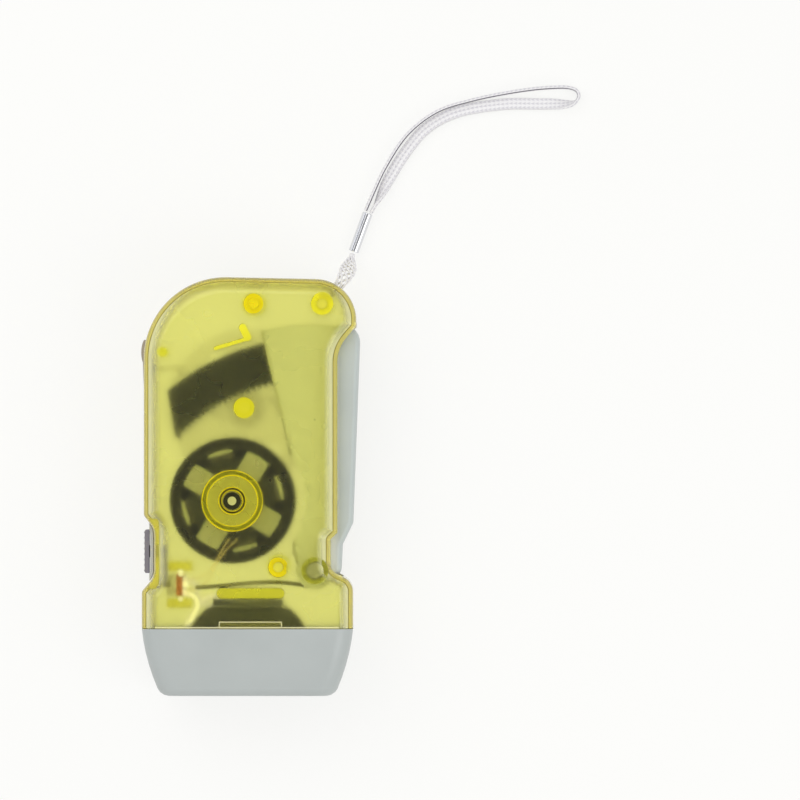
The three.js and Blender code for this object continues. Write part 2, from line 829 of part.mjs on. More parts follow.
function rearShell() {
  const low = rearFloorZ - weldDepth;
  const high = partingZ - seamGap / 2;
  const inside = [
    ...screwPlaces.map(([x, y]) => cylinder(screwPillarRadius, low, high, x, y)),
    cylinder(locatorRadius, low, high, locatorX, locatorY, smallSides),
    cylinder(screwPillarRadius, low, rearBossZ, gearX, gearY),
    cylinder(shaftRingRadius, low, rearBossZ, flywheelX, flywheelY),
    cylinder(pivotRingRadius, low, leverZ - slotRoom, pivotX, pivotY),
    ...switchRibs(low, high),
  ];
  const axleRoom = axleRadius + seatGap;
  const bushRoom = shaftRingRadius - shaftRingWall;
  const pinRoom = pivotPinRadius + seatGap;
  const holes = [
    ...screwPlaces.map(([x, y]) => cylinder(screwRadius + seatGap, 0, partingZ, x, y, smallSides)),
    ...screwPlaces.map(([x, y]) => cylinder(screwHeadRadius + seatGap, -cutOverrun, screwSeatZ, x, y)),
    cylinder(axleRoom, blindFloorZ, partingZ, gearX, gearY, smallSides),
    cylinder(bushRoom, blindFloorZ, partingZ, flywheelX, flywheelY),
    cylinder(pinRoom, rearFloorZ, partingZ, pivotX, pivotY),
    caseOpenings(),
  ];
  return cutBy(joined(mirroredFrontToRear(emptyHalf()), ...inside), ...holes);
}

function caseScrew([x, y]) {
  const headTop = screwHeadSink + screwHeadHeight;
  const head = cylinder(screwHeadRadius, screwHeadSink, headTop, x, y);
  const shank = cylinder(screwRadius, headTop - weldDepth, partingZ + screwBiteDepth, x, y, smallSides);
  const half = screwDriveWidth / 2;
  const reach = screwHeadRadius - screwDriveWidth;
  const depth = screwHeadSink + weldDepth;
  const crossing = [
    block(x - reach, x + reach, y - half, y + half, screwHeadSink - cutOverrun, depth),
    block(x - half, x + half, y - reach, y + reach, screwHeadSink - cutOverrun, depth),
  ];
  return cutBy(head.add(shank), ...crossing);
}

// The lever's outline about its pivot, counter-clockwise from the heel.
function leverCorners() {
  return [
    { x: leverHeelX, y: leverHeelY, radius: leverHeelRadius },
    { x: leverWaistX, y: leverWaistY, radius: leverWaistRadius },
    { x: leverGripLowX, y: leverShoulderY, radius: leverShoulderRadius },
    { x: leverGripX, y: leverTipRadius - slotRoom, radius: leverGripRadius },
    { x: 0, y: leverTipRadius + cutOverrun },
    { x: leverBackX, y: leverTipRadius + cutOverrun },
    { x: leverBackLowX, y: leverBackLowY },
    { x: -springHookReach, y: springWindowTop },
    { x: -leverHubRadius, y: -leverHubRadius },
  ];
}

function leverBlank() {
  const corners = leverCorners();
  const rearRadius = leverEdgeRadius / 2;
  const rings = [
    { points: roundedOutline(corners, rearRadius), z: leverZ },
    { points: roundedOutline(corners, 0), z: leverZ + rearRadius },
  ];
  for (let step = 0; step < edgeSteps; step += 1) {
    const angle = 90 * step / (edgeSteps - 1);
    const inset = leverEdgeRadius * (1 - cosine(angle));
    rings.push({
      points: roundedOutline(corners, inset),
      z: leverTopZ - leverEdgeRadius * (1 - sine(angle)),
    });
  }
  return leverBounds(loft(rings), 0);
}

// Keeps what lies within the lever's reach and clear of the flywheel.
function leverBounds(solid, inset) {
  const low = leverZ - 2 * cutOverrun;
  const high = leverTopZ + 2 * cutOverrun;
  const reach = cylinder(leverTipRadius - inset, low, high, 0, 0, tipSides);
  const room = flywheelRadius + leverFlywheelRoom + inset;
  const wheel = cylinder(room, low, high, flywheelX - pivotX, flywheelY - pivotY, fineSides);
  return solid.intersect(reach).subtract(wheel);
}

function lever() {
  const hollowLow = leverZ - cutOverrun;
  const inside = prism(roundedOutline(leverCorners(), leverWall), hollowLow, leverFaceZ);
  const hollow = leverBounds(inside, leverWall);
  const coilRoom = springCoilRadius + springWireRadius + runGap;
  const sectorInner = sectorPitchRadius - toothTipHeight - slotRoom;
  const sectorOuter = sectorOuterRadius + slotRoom;
  const windows = [
    hollow,
    cylinder(coilRoom, hollowLow, leverFaceZ, 0, 0, plainSides),
    block(-2 * springHookReach, 0, -2 * springHookReach, springWindowTop, hollowLow, leverFaceZ),
    wedge(sectorInner, sectorOuter, sectorWindowFrom, sectorEndOuter, hollowLow, pinionTopZ),
  ];
  const additions = [
    cylinder(leverHubFaceRadius, leverFaceZ, leverTopZ),
    cylinder(leverHubRadius, leverZ, leverTopZ),
    ...smallScrewPlaces.map(({ x, y }) => cylinder(
      leverBossRadius, pinionTopZ, leverFaceZ + weldDepth, x, y, smallSides,
    )),
  ];
  const bores = [
    cylinder(pivotPinRadius + seatGap, hollowLow, leverTopZ + cutOverrun),
    ...smallScrewPlaces.map(({ x, y }) => cylinder(
      smallScrewRadius + seatGap, hollowLow, smallScrewTopZ + seatGap, x, y, smallSides,
    )),
  ];
  return cutBy(joined(cutBy(leverBlank(), ...windows), ...additions), ...bores);
}

// The sector's outline: outer arc, slanted end, inner teeth, then a plain inner arc.
function sectorGear() {
  const pitchAngle = 360 / sectorTeethInCircle;
  const tip = sectorPitchRadius - toothTipHeight;
  const root = sectorPitchRadius + toothRootDepth;
  const plain = root + toothRootDepth;
  const firstSpace = gearBearing + Math.floor((sectorTeethStart - gearBearing) / pitchAngle) * pitchAngle;
  const points = [
    ...arcPoints(sectorOuterRadius, sectorHiddenEnd, sectorEndOuter, sectorTeeth),
    polar(tip + sectorEndInset, sectorEndInner),
    polar(tip, sectorEndInner),
  ];
  for (let space = 0; space < sectorTeeth; space += 1) {
    const centre = firstSpace - space * pitchAngle;
    const open = toothHalfAngle(sectorPitchRadius, tip, toothGap);
    const closed = toothHalfAngle(sectorPitchRadius, root, toothGap);
    points.push(polar(tip, centre + open), polar(root, centre + closed));
    points.push(polar(root, centre - closed), polar(tip, centre - open));
  }
  const lastSpace = firstSpace - sectorTeeth * pitchAngle;
  points.push(...arcPoints(plain, lastSpace, sectorHiddenEnd, flankSteps));
  const holes = smallScrewPlaces.map(({ x, y }) => cylinder(
    smallScrewRadius + seatGap, sectorZ - cutOverrun, pinionTopZ, x, y, smallSides,
  ));
  return cutBy(prism(points, sectorZ, sectorZ + sectorThickness), ...holes);
}

function smallScrew({ x, y }) {
  const headTop = sectorZ - seatGap;
  const headLow = headTop - smallScrewHeadHeight;
  const head = cylinder(smallScrewHeadRadius, headLow, headTop, x, y, smallSides);
  return head.add(cylinder(smallScrewRadius, headTop - weldDepth, smallScrewTopZ, x, y, smallSides));
}

// One unbroken wire: a leg that leans on the case, the coil round the hub and a leg on the lever.
function returnSpringRoute() {
  const points = [];
  for (let step = 0; step < springStepsPerTurn; step += 1) {
    const share = step / springStepsPerTurn;
    const rise = springLegRise * Math.sin(Math.PI * share);
    points.push([-springLegReach * (1 - share), rise - springCoilRadius, springTopZ]);
  }
  const steps = springHalfTurns * springStepsPerTurn / 2;
  for (let step = 0; step <= steps; step += 1) {
    const turn = step / springStepsPerTurn;
    const place = polar(springCoilRadius, 360 * turn - 90);
    points.push([place.x, place.y, springTopZ - springPitch * turn]);
  }
  const low = springTopZ - springPitch * springHalfTurns / 2;
  points.push([-springHookReach, springCoilRadius, low]);
  return points;
}

function returnSpring() {
  const route = returnSpringRoute();
  const section = circleSection(springWireRadius, springSides);
  return toSolid(swept(section, route, route.length - 1));
}

// The least gap between neighbouring turns, measured on the wire's centre points.
function leastSpringGap() {
  const coil = returnSpringRoute().slice(springStepsPerTurn, -1);
  let least = Infinity;
  coil.forEach((a, i) => coil.slice(i + springStepsPerTurn - 1).forEach((b) => {
    const distance = Math.hypot(a[0] - b[0], a[1] - b[1], a[2] - b[2]);
    least = Math.min(least, distance - 2 * springWireRadius);
  }));
  return least;
}

function driveGear() {
  const root = driveGearPitchRadius - toothRootDepth;
  const tip = driveGearPitchRadius + toothTipHeight;
  const spaceAhead = flywheelBearing + 180 / driveGearTeeth;
  const top = gearZ + gearWidth;
  const blank = prism(gearOutline(driveGearTeeth, root, tip, -toothGap, 1, spaceAhead), gearZ, top);
  const holes = Array.from({ length: gearHoles }, (_, i) => {
    const place = polar(gearHoleRingRadius, 360 * i / gearHoles);
    return cylinder(gearHoleRadius, gearZ - cutOverrun, top + cutOverrun, place.x, place.y, smallSides);
  });
  const bore = cylinder(axleRadius + seatGap, gearZ - cutOverrun, top + cutOverrun);
  const pins = pawlBearings.map((bearing) => {
    const place = polar(pawlRingRadius, bearing);
    return cylinder(pawlPinRadius, top - weldDepth, ratchetZ + pawlThickness, place.x, place.y, smallSides);
  });
  return cutBy(joined(blank, ...pins), bore, ...holes);
}

function pawl(bearing) {
  const place = polar(pawlRingRadius, bearing);
  const top = ratchetZ + pawlThickness;
  const eye = cylinder(pawlEyeRadius, ratchetZ, top, place.x, place.y, smallSides);
  const arm = bar(place.x, place.y, pawlReach, pawlEyeRadius, bearing + pawlLean, ratchetZ, top);
  const hole = cylinder(
    pawlPinRadius + seatGap, ratchetZ - cutOverrun, top + cutOverrun, place.x, place.y, smallSides,
  );
  return eye.add(arm).subtract(hole);
}

function drivePinion() {
  const root = drivePinionPitchRadius - toothRootDepth;
  const tip = drivePinionPitchRadius + toothTipHeight;
  const teeth = gearOutline(drivePinionTeeth, root, tip, -toothGap, flankSteps, gearBearing);
  const saw = Array.from({ length: ratchetTeeth }, (_, i) => {
    const start = 360 * i / ratchetTeeth;
    return [polar(ratchetRadius, start), polar(ratchetRadius - ratchetToothDepth, start)];
  }).flat();
  const wheel = prism(saw.reverse(), ratchetZ, pinionZ);
  const pinion = prism(teeth, pinionZ - weldDepth, pinionTopZ);
  const bore = cylinder(axleRadius + seatGap, ratchetZ - cutOverrun, pinionTopZ + cutOverrun);
  return wheel.add(pinion).subtract(bore);
}

function flywheelCup() {
  const bore = shaftRadius + seatGap;
  const inner = flywheelRadius - flywheelRim;
  const top = flywheelZ + flywheelDepth;
  const floor = flywheelZ + flywheelFloor;
  return turned([
    [bore, flywheelZ], [flywheelRadius, flywheelZ], [flywheelRadius, top], [inner, top],
    [inner, floor], [bore, floor],
  ]);
}

function ringMagnet() {
  const top = flywheelZ + flywheelDepth - magnetEndGap;
  return tube(magnetInnerRadius, magnetInnerRadius + magnetThickness, magnetZ, top, 0, 0, fineSides);
}

function flywheelPinion() {
  const root = flywheelPinionPitchRadius - toothRootDepth;
  const tip = flywheelPinionPitchRadius + toothTipHeight;
  const facing = flywheelBearing + 180;
  const teeth = gearOutline(flywheelPinionTeeth, root, tip, -toothGap, flankSteps, facing);
  const top = gearZ + gearWidth + runGap;
  const hub = cylinder(flywheelHubRadius, top - weldDepth, flywheelZ - seatGap);
  const bore = cylinder(shaftRadius + seatGap, gearZ - cutOverrun, flywheelZ);
  return prism(teeth, gearZ, top).add(hub).subtract(bore);
}

function shaftBush(low, high) {
  const outer = shaftRingRadius - shaftRingWall - seatGap;
  return tube(shaftRadius + runGap, outer, low, high);
}

// A claw-pole plate: a hub, four arms and a claw bent over at the end of each.
function statorPlate(low, clawEnd, turn) {
  const half = statorArmWidth / 2;
  const inner = statorRadius - clawThickness;
  const clawLow = Math.min(low, clawEnd);
  const clawHigh = Math.max(low + statorSheet, clawEnd);
  const arms = Array.from({ length: statorArms }, (_, i) => {
    const bearing = turn + 360 * i / statorArms;
    const start = polar(inner, bearing);
    return [
      bar(0, 0, 2 * statorRadius, statorArmWidth, bearing, low, low + statorSheet),
      bar(start.x, start.y, half, statorArmWidth, bearing, clawLow, clawHigh),
    ];
  }).flat();
  const hub = cylinder(statorHubRadius, low, low + statorSheet, 0, 0, fineSides);
  const limit = cylinder(statorRadius, clawLow, clawHigh, 0, 0, fineSides);
  const bore = cylinder(coreRadius + seatGap, clawLow - cutOverrun, clawHigh + cutOverrun);
  return joined(hub, ...arms).intersect(limit).subtract(bore);
}

function coilBobbin() {
  const low = statorZ + statorSheet + seatGap;
  const high = statorTopZ - statorSheet - seatGap;
  const bore = coreRadius + seatGap;
  const barrel = bore + bobbinWall;
  return turned([
    [bore, low], [bobbinRadius, low], [bobbinRadius, low + bobbinFlange], [barrel, low + bobbinFlange],
    [barrel, high - bobbinFlange], [bobbinRadius, high - bobbinFlange], [bobbinRadius, high], [bore, high],
  ], fineSides);
}

function coilWinding() {
  const low = statorZ + statorSheet + bobbinFlange + 2 * seatGap;
  const high = statorTopZ - statorSheet - bobbinFlange - 2 * seatGap;
  const inner = coreRadius + bobbinWall + 2 * seatGap;
  return tube(inner, bobbinRadius - windingInset, low, high, 0, 0, fineSides);
}

// Half the head's width is lost by this much at a distance from the seam.
function headDrop(distance) {
  const share = distance / headLength;
  return headTaper * share + headBulge * share * share;
}

// A rectangle with round corners, for a cross-section of the head.
function roundedRectangle(halfWidth, halfDepth, radius) {
  const corners = [
    { x: halfWidth, y: -halfDepth, radius }, { x: halfWidth, y: halfDepth, radius },
    { x: -halfWidth, y: halfDepth, radius }, { x: -halfWidth, y: -halfDepth, radius },
  ];
  return roundedOutline(corners, 0);
}

function headSection(distance, inset) {
  const drop = headDrop(distance);
  const halfWidth = caseHalfWidth - drop - inset;
  const halfDepth = partingZ - headDepthShare * drop - inset;
  return roundedRectangle(halfWidth, halfDepth, Math.max(caseEdgeRadius - inset, leastFillet));
}

// Turns a solid built along its own Z so that it points out of the lamp end.
function towardsLamp(solid) {
  const geometry = toGeometry(solid);
  geometry.rotateX(Math.PI / 2);
  return toSolid(geometry.translate(0, 0, partingZ));
}

function headBezel() {
  const rings = [];
  const straight = headLength - headEndRadius;
  for (let step = 0; step <= headSteps; step += 1) {
    const distance = seamGap + (straight - seamGap) * step / headSteps;
    rings.push({ points: headSection(distance, 0), z: distance });
  }
  for (let step = 1; step <= edgeSteps; step += 1) {
    const angle = 90 * step / edgeSteps;
    const distance = straight + headEndRadius * sine(angle);
    rings.push({ points: headSection(distance, headEndRadius * (1 - cosine(angle))), z: distance });
  }
  const hollow = [];
  const hollowEnd = headLength - lensLipDepth;
  for (let step = 0; step <= headSteps; step += 1) {
    const distance = hollowEnd * step / headSteps;
    hollow.push({ points: headSection(distance, headWall), z: distance });
  }
  const window = prism(headSection(headLength, headWall + lensLip), 0, headLength + cutOverrun);
  const bezel = towardsLamp(cutBy(loft(rings), loft(hollow), window));
  return joined(bezel, snapTab(), mirroredFrontToRear(snapTab()));
}

// The tongue that clips under the wall of the case.
function snapTab() {
  const half = tabWidth / 2;
  const top = frontCeilingZ - seatGap;
  const foot = caseDepth - headWall / 2;
  const tongue = block(
    tabCentreX - half, tabCentreX + half, -tabRoot, tabReach, top - tabThickness, top,
  );
  return tongue.add(block(
    tabCentreX - half, tabCentreX + half, -tabRoot, -tabRoot / 2, top - tabThickness, foot,
  ));
}

function lens() {
  const points = headSection(lensFront, headWall + seatGap);
  return towardsLamp(prism(points, lensFront - lensThickness, lensFront));
}

function reflectorSection(share, inset) {
  const front = headSectionHalf(lensFront, headWall + seatGap);
  const curve = share ** reflectorCurveShare;
  const halfWidth = reflectorBackHalfWidth + (front.width - reflectorBackHalfWidth) * curve - inset;
  const halfDepth = reflectorBackHalfDepth + (front.depth - reflectorBackHalfDepth) * curve - inset;
  return roundedRectangle(halfWidth, halfDepth, halfDepth * reflectorRoundShare);
}

function headSectionHalf(distance, inset) {
  const drop = headDrop(distance);
  return { width: caseHalfWidth - drop - inset, depth: partingZ - headDepthShare * drop - inset };
}

function reflector() {
  const front = lensFront - lensThickness - seatGap;
  const length = front + reflectorBackY;
  const outer = [];
  const inner = [];
  for (let step = 0; step <= headSteps; step += 1) {
    const share = (step / headSteps) ** 2;
    outer.push({ points: reflectorSection(share, 0), z: share * length - reflectorBackY });
    const distance = reflectorWall + share * (length - reflectorWall) - reflectorBackY;
    inner.push({ points: reflectorSection(share, reflectorWall), z: distance });
  }
  inner.push({ points: reflectorSection(1, reflectorWall), z: front + cutOverrun });
  const ledHoles = ledPlaces.map((x) => cylinder(
    ledRadius + seatGap, -reflectorBackY - cutOverrun, -reflectorBackY + ledRadius, x, 0,
  ));
  return towardsLamp(cutBy(loft(outer), loft(inner), ...ledHoles));
}

function led(x) {
  const cylinderEnd = ledHeight - ledRadius;
  const dome = ledDomeAngles.map((angle) => [
    ledRadius * cosine(angle), cylinderEnd + ledRadius * sine(angle),
  ]);
  const solid = turned(
    [[0, 0], [ledRadius, 0], [ledRadius, cylinderEnd], ...dome, [0, ledHeight]], plainSides,
  );
  return towardsLamp(shifted(solid, x, 0, -ledBaseY));
}

function shifted(solid, x, y, z) {
  return toSolid(toGeometry(solid).translate(x, y, z));
}

function ledBoard() {
  const half = reflectorBackHalfWidth;
  const low = ledBaseY + seatGap / 2;
  return block(
    -half, half, low, low + boardThickness,
    partingZ - reflectorBackHalfDepth, partingZ + reflectorBackHalfDepth,
  );
}

// The fixed grey liner that follows the recess, with a window for the knob's stem.
function switchPlate() {
  const half = knobDepth / 2 + plateMargin;
  const outer = prism(
    roundedOutline(caseCorners(), -plateGap - plateThickness), partingZ - half, partingZ + half,
  );
  const inner = prism(
    roundedOutline(caseCorners(), -plateGap), partingZ - half - cutOverrun, partingZ + half + cutOverrun,
  );
  const reach = plateLength / 2;
  const field = block(
    knobX - plateGap, recessX, knobCentreY - reach, knobCentreY + reach,
    partingZ - half, partingZ + half,
  );
  return cutBy(outer.intersect(field), inner, switchSlot());
}

function switchKnob() {
  const half = knobLength / 2;
  const deep = knobDepth / 2;
  const inside = knobX + knobHeight;
  const slab = block(
    knobX, inside, knobCentreY - half, knobCentreY + half, partingZ - deep, partingZ + deep,
  );
  const pitch = knobLength / (knobRibs + 1);
  const grooves = Array.from({ length: knobRibs }, (_, i) => {
    const y = knobCentreY - half + pitch * (i + 1);
    return block(
      knobX - cutOverrun, knobX + knobRibDepth, y - pitch / 4, y + pitch / 4,
      partingZ - deep - cutOverrun, partingZ + deep + cutOverrun,
    );
  });
  const stemHalf = stemLength / 2;
  const stemDeep = stemDepth / 2;
  const armTop = knobCentreY + stemHalf;
  const armLow = switchCentreY - switchNubLength / 2;
  const stem = block(
    inside - weldDepth / 2, switchArmX + switchArmThickness, knobCentreY - stemHalf, armTop,
    partingZ - stemDeep, partingZ + stemDeep,
  );
  const arm = block(
    switchArmX, switchArmX + switchArmThickness, armLow, armTop, partingZ - stemDeep, partingZ + stemDeep,
  );
  const nub = block(
    switchArmX, switchBodyX + switchNubReach, armLow, armLow + switchNubLength,
    partingZ - stemDeep / 2, partingZ + stemDeep / 2,
  );
  return joined(cutBy(slab, ...grooves), stem, arm, nub);
}

function switchBody() {
  const half = switchBodyLength / 2;
  const deep = switchBodyDepth / 2;
  const body = block(
    switchBodyX, switchBodyX + switchBodyWidth, switchCentreY - half, switchCentreY + half,
    partingZ - deep, partingZ + deep,
  );
  const slotHalf = switchNubLength / 2 + switchTravel + runGap;
  const slotDeep = stemDepth / 4 + runGap;
  return body.subtract(block(
    switchBodyX - cutOverrun, switchBodyX + switchNubReach + runGap,
    switchCentreY - slotHalf, switchCentreY + slotHalf, partingZ - slotDeep, partingZ + slotDeep,
  ));
}

function switchBoard() {
  const half = switchBodyLength / 2;
  const deep = switchBoardDepth / 2;
  return block(
    switchBoardX, switchBoardX + switchBoardThickness, switchCentreY - half, switchCentreY + half,
    partingZ - deep, partingZ + deep,
  );
}

// The lock: an outer plate with a thumb rise, a stem through the wall, a flange and a hook inside.
function lockSlider() {
  const plateX = lockPlateX + lockPlateThickness;
  const half = lockPlateDepth / 2;
  const stemHalf = lockStemDepth / 2;
  const flangeX = caseBackX + caseWall + runGap;
  const flangeEndX = flangeX + lockFlangeThickness;
  const flangeLow = lockStemLow - lockFlangeSpread;
  const flangeHigh = lockStemHigh + lockFlangeSpread;
  const hookTop = lockStemHigh - runGap;
  const hookZ = sectorZ + runGap;
  const hookTopZ = hookZ + lockHookThickness;
  const tipY = hookTop - lockHookWidth - lockHookDrop;
  return joined(
    block(lockPlateX, plateX, lockPlateLow, lockPlateHigh, partingZ - half, partingZ + half),
    block(lockPlateX - lockThumbRise, plateX, lockThumbLow, lockThumbHigh, partingZ - half, partingZ + half),
    block(lockPlateX, flangeEndX, lockStemLow, lockStemHigh, partingZ - stemHalf, partingZ + stemHalf),
    block(flangeX, flangeEndX, flangeLow, flangeHigh, hookZ, partingZ + half),
    block(flangeX, lockHookX, hookTop - lockHookWidth, hookTop, hookZ, hookTopZ),
    block(lockHookX - lockHookWidth, lockHookX, tipY, hookTop, hookZ, hookTopZ),
  );
}

// A wire whose route gives its heights from a named layer.
function insideWire(radius, route, layerZ) {
  const raised = route.map(([x, y, z]) => [x, y, layerZ + z]);
  return toSolid(swept(circleSection(radius, wireSides), raised, wireSteps));
}

// The white band as one flat strip standing on its edge, out to the loop's end and back.
function wristStrap() {
  const route = strapRoute.map(([x, y]) => [x, y, cordHeight]);
  const wide = strapWidth / 2;
  const thick = strapThickness / 2;
  const quarter = [[wide, thick - strapBevel], [wide - strapBevel, thick]];
  const section = [
    ...quarter, ...quarter.toReversed().map(([x, y]) => [-x, y]),
    ...quarter.map(([x, y]) => [-x, -y]), ...quarter.toReversed().map(([x, y]) => [x, -y]),
  ].map(([x, y]) => new THREE.Vector2(x, y));
  return toSolid(swept(section, route, strapSteps));
}

// The string comes out at the parting plane and drops to what the light lies on.
function strapString() {
  const drop = partingZ - cordHeight;
  const route = stringRoute.map(([x, y], i) => [x, y, cordHeight + drop * stringHeightShares[i]]);
  return toSolid(swept(circleSection(stringRadius, stringSides), route, stringSteps));
}

function strapCrimp() {
  const geometry = new THREE.CylinderGeometry(crimpRadius, crimpRadius, crimpLength, smallSides);
  geometry.translate(0, crimpLength / 2, 0);
  geometry.rotateZ(THREE.MathUtils.degToRad(crimpBearing - 90));
  return toSolid(geometry.translate(crimpX, crimpY, cordHeight));
}

const flashlight = new THREE.Group();

const caseGroup = new THREE.Group();
flashlight.add(caseGroup);
addPart(caseGroup, 'front_shell', frontShell(), materials.yellowShell);
addPart(caseGroup, 'rear_shell', rearShell(), materials.yellowShell);
screwPlaces.forEach((place, i) => {
  addPart(caseGroup, `case_screw_${i + 1}`, caseScrew(place), materials.steel);
});

const headGroup = new THREE.Group();
flashlight.add(headGroup);
addPart(headGroup, 'head_bezel', headBezel(), materials.greyPlastic);
addPart(headGroup, 'lens', lens(), materials.clear);
addPart(headGroup, 'reflector', reflector(), materials.chrome);
addPart(headGroup, 'led_board', ledBoard(), materials.boardGreen);
ledPlaces.forEach((x, i) => addPart(headGroup, `led_${i + 1}`, led(x), materials.clear));

const leverGroup = new THREE.Group();
leverGroup.position.set(pivotX, pivotY, 0);
flashlight.add(leverGroup);
addPart(leverGroup, 'lever', lever(), materials.greyPlastic);
addPart(leverGroup, 'sector_gear', sectorGear(), materials.darkPlastic);
smallScrewPlaces.forEach((place, i) => {
  addPart(leverGroup, `sector_screw_${i + 1}`, smallScrew(place), materials.steel);
});
addPart(leverGroup, 'return_spring', returnSpring(), materials.steel);
addPart(
  leverGroup, 'lever_pivot_pin',
  cylinder(pivotPinRadius, rearFloorZ + seatGap, frontCeilingZ - seatGap), materials.steel,
);

const gearGroup = new THREE.Group();
gearGroup.position.set(gearX, gearY, 0);
flashlight.add(gearGroup);
addPart(gearGroup, 'drive_gear', driveGear(), materials.whitePlastic);
addPart(gearGroup, 'drive_pinion', drivePinion(), materials.whitePlastic);
pawlBearings.forEach((bearing, i) => {
  addPart(gearGroup, `clutch_pawl_${i + 1}`, pawl(bearing), materials.darkPlastic);
});
addPart(
  gearGroup, 'gear_axle', cylinder(axleRadius, blindFloorZ + seatGap, gearAxleTopZ, 0, 0, smallSides),
  materials.steel,
);

const flywheelGroup = new THREE.Group();
flywheelGroup.position.set(flywheelX, flywheelY, 0);
flashlight.add(flywheelGroup);
addPart(flywheelGroup, 'flywheel_cup', flywheelCup(), materials.darkSteel);
addPart(flywheelGroup, 'ring_magnet', ringMagnet(), materials.magnet);
addPart(flywheelGroup, 'flywheel_pinion', flywheelPinion(), materials.brass);
addPart(
  flywheelGroup, 'flywheel_shaft',
  cylinder(shaftRadius, blindFloorZ + seatGap, frontCeilingZ - seatGap, 0, 0, smallSides), materials.steel,
);
addPart(flywheelGroup, 'rear_bush', shaftBush(blindFloorZ + seatGap, rearBossZ), materials.brass);
addPart(
  flywheelGroup, 'front_bush', shaftBush(statorTopZ + bushLift, frontCeilingZ - seatGap),
  materials.blackRubber,
);

const rearClawEnd = statorTopZ - statorSheet - seatGap;
const frontClawEnd = statorZ + statorSheet + seatGap;
const frontPlateZ = statorTopZ - statorSheet;
addPart(
  flywheelGroup, 'stator_front_plate', statorPlate(frontPlateZ, frontClawEnd, statorArmAngle),
  materials.steel,
);
addPart(
  flywheelGroup, 'stator_rear_plate',
  statorPlate(statorZ, rearClawEnd, statorArmAngle + statorRearTurn), materials.steel,
);
addPart(
  flywheelGroup, 'stator_core', tube(coreRadius - coreWall, coreRadius, statorZ, statorTopZ),
  materials.darkSteel,
);
addPart(flywheelGroup, 'coil_bobbin', coilBobbin(), materials.whitePlastic);
addPart(flywheelGroup, 'coil_winding', coilWinding(), materials.copper);

const electricsGroup = new THREE.Group();
flashlight.add(electricsGroup);
addPart(electricsGroup, 'switch_plate', switchPlate(), materials.greyPlastic);
addPart(electricsGroup, 'switch_knob', switchKnob(), materials.knobGrey);
addPart(electricsGroup, 'switch_body', switchBody(), materials.blackRubber);
addPart(electricsGroup, 'switch_board', switchBoard(), materials.boardBrown);
coilLeadRoutes.forEach((route, i) => {
  const lead = insideWire(leadRadius, route, statorTopZ);
  addPart(electricsGroup, `coil_lead_${i + 1}`, lead, materials.copper);
});
lampWireRoutes.forEach((route, i) => {
  const wire = insideWire(lampWireRadius, route, partingZ);
  addPart(electricsGroup, `lamp_wire_${i + 1}`, wire, materials.creamWire);
});

addPart(flashlight, 'lock_slider', lockSlider(), materials.lockGrey);

const strapGroup = new THREE.Group();
flashlight.add(strapGroup);
addPart(strapGroup, 'strap_string', strapString(), materials.strapWhite);
addPart(strapGroup, 'strap_crimp', strapCrimp(), materials.chrome);
addPart(strapGroup, 'wrist_strap', wristStrap(), materials.strapWhite);

console.log(`least gap between the return spring's turns: ${leastSpringGap().toFixed(2)} mm`);

// The origin goes under the middle of the flashlight, the hand strap left out, on the surface it
// lies on.
flashlight.updateMatrixWorld(true);
const footprint = new THREE.Box3();
flashlight.children.filter((child) => child !== strapGroup).forEach((child) => {
  footprint.expandByObject(child, true);
});
const middle = footprint.getCenter(new THREE.Vector3());
flashlight.position.set(-middle.x, -middle.y, -footprint.min.z);

export default flashlight;
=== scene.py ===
"""Squeeze-lever dynamo flashlight in a translucent yellow case, dressed for rendering.

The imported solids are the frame. The case, the LEDs, the wires, the spring and the hand strap are
made here with finer curves, and the other pieces are smoothed copies of their solids.
"""

import logging
import math
from dataclasses import dataclass
from enum import Enum
from functools import cache

import bmesh
import bpy
from bpy.types import Material, Mesh, Node, NodeSocket, NodeTree, Object
from mathutils import Matrix, Vector


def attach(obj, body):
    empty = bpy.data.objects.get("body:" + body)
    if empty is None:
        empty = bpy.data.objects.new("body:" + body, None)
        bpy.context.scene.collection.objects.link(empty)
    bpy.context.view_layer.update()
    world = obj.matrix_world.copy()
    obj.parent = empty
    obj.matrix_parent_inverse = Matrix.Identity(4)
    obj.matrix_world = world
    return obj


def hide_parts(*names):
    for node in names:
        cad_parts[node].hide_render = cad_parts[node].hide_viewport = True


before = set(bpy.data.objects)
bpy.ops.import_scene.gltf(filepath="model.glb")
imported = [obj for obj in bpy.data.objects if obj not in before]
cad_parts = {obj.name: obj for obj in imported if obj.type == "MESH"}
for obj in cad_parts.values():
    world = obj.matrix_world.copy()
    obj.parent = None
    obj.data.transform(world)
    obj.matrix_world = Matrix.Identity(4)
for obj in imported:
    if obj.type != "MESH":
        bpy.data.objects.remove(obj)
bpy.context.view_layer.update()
LOG = logging.getLogger("flashlight")

# Two sizes that go together, such as a place in the layout or a lower and an upper height.
Pair = tuple[float, float]
Pairs = tuple[Pair, ...]

MM = 0.001
# Corners of the solids closer than this are one, and edges flatter than this many degrees go.
JOIN_MM = 0.004
FLAT_DEGREES = 0.6
# How much the larger faces decide about the shading of the smaller ones beside them.
FLAT_WEIGHT = 90
# Where the layout's own origin, the middle of the seam between case and head, lies in the frame.
LAYOUT_SHIFT = Vector((-0.698112, -35.435737, 0.0))
# The main places of the layout, in millimetres: depth, parting plane and the three axes.
DEPTH = 29.0
PARTING_Z = DEPTH / 2
PIVOT = (16.9, 14.4)
GEAR = (-0.879978, 55.193731)
FLYWHEEL = (-3.825254, 31.879013)


def place(x: float, y: float, z: float) -> Vector:
    """Turn a point of the layout, in millimetres, into the frame's metres.

    Args:
        x: Distance from the centre line.
        y: Distance from the seam between case and head.
        z: Height over the surface that the light lies on.

    Returns:
        The same point in the frame, in metres.
    """
    return (Vector((x, y, z)) + LAYOUT_SHIFT) * MM


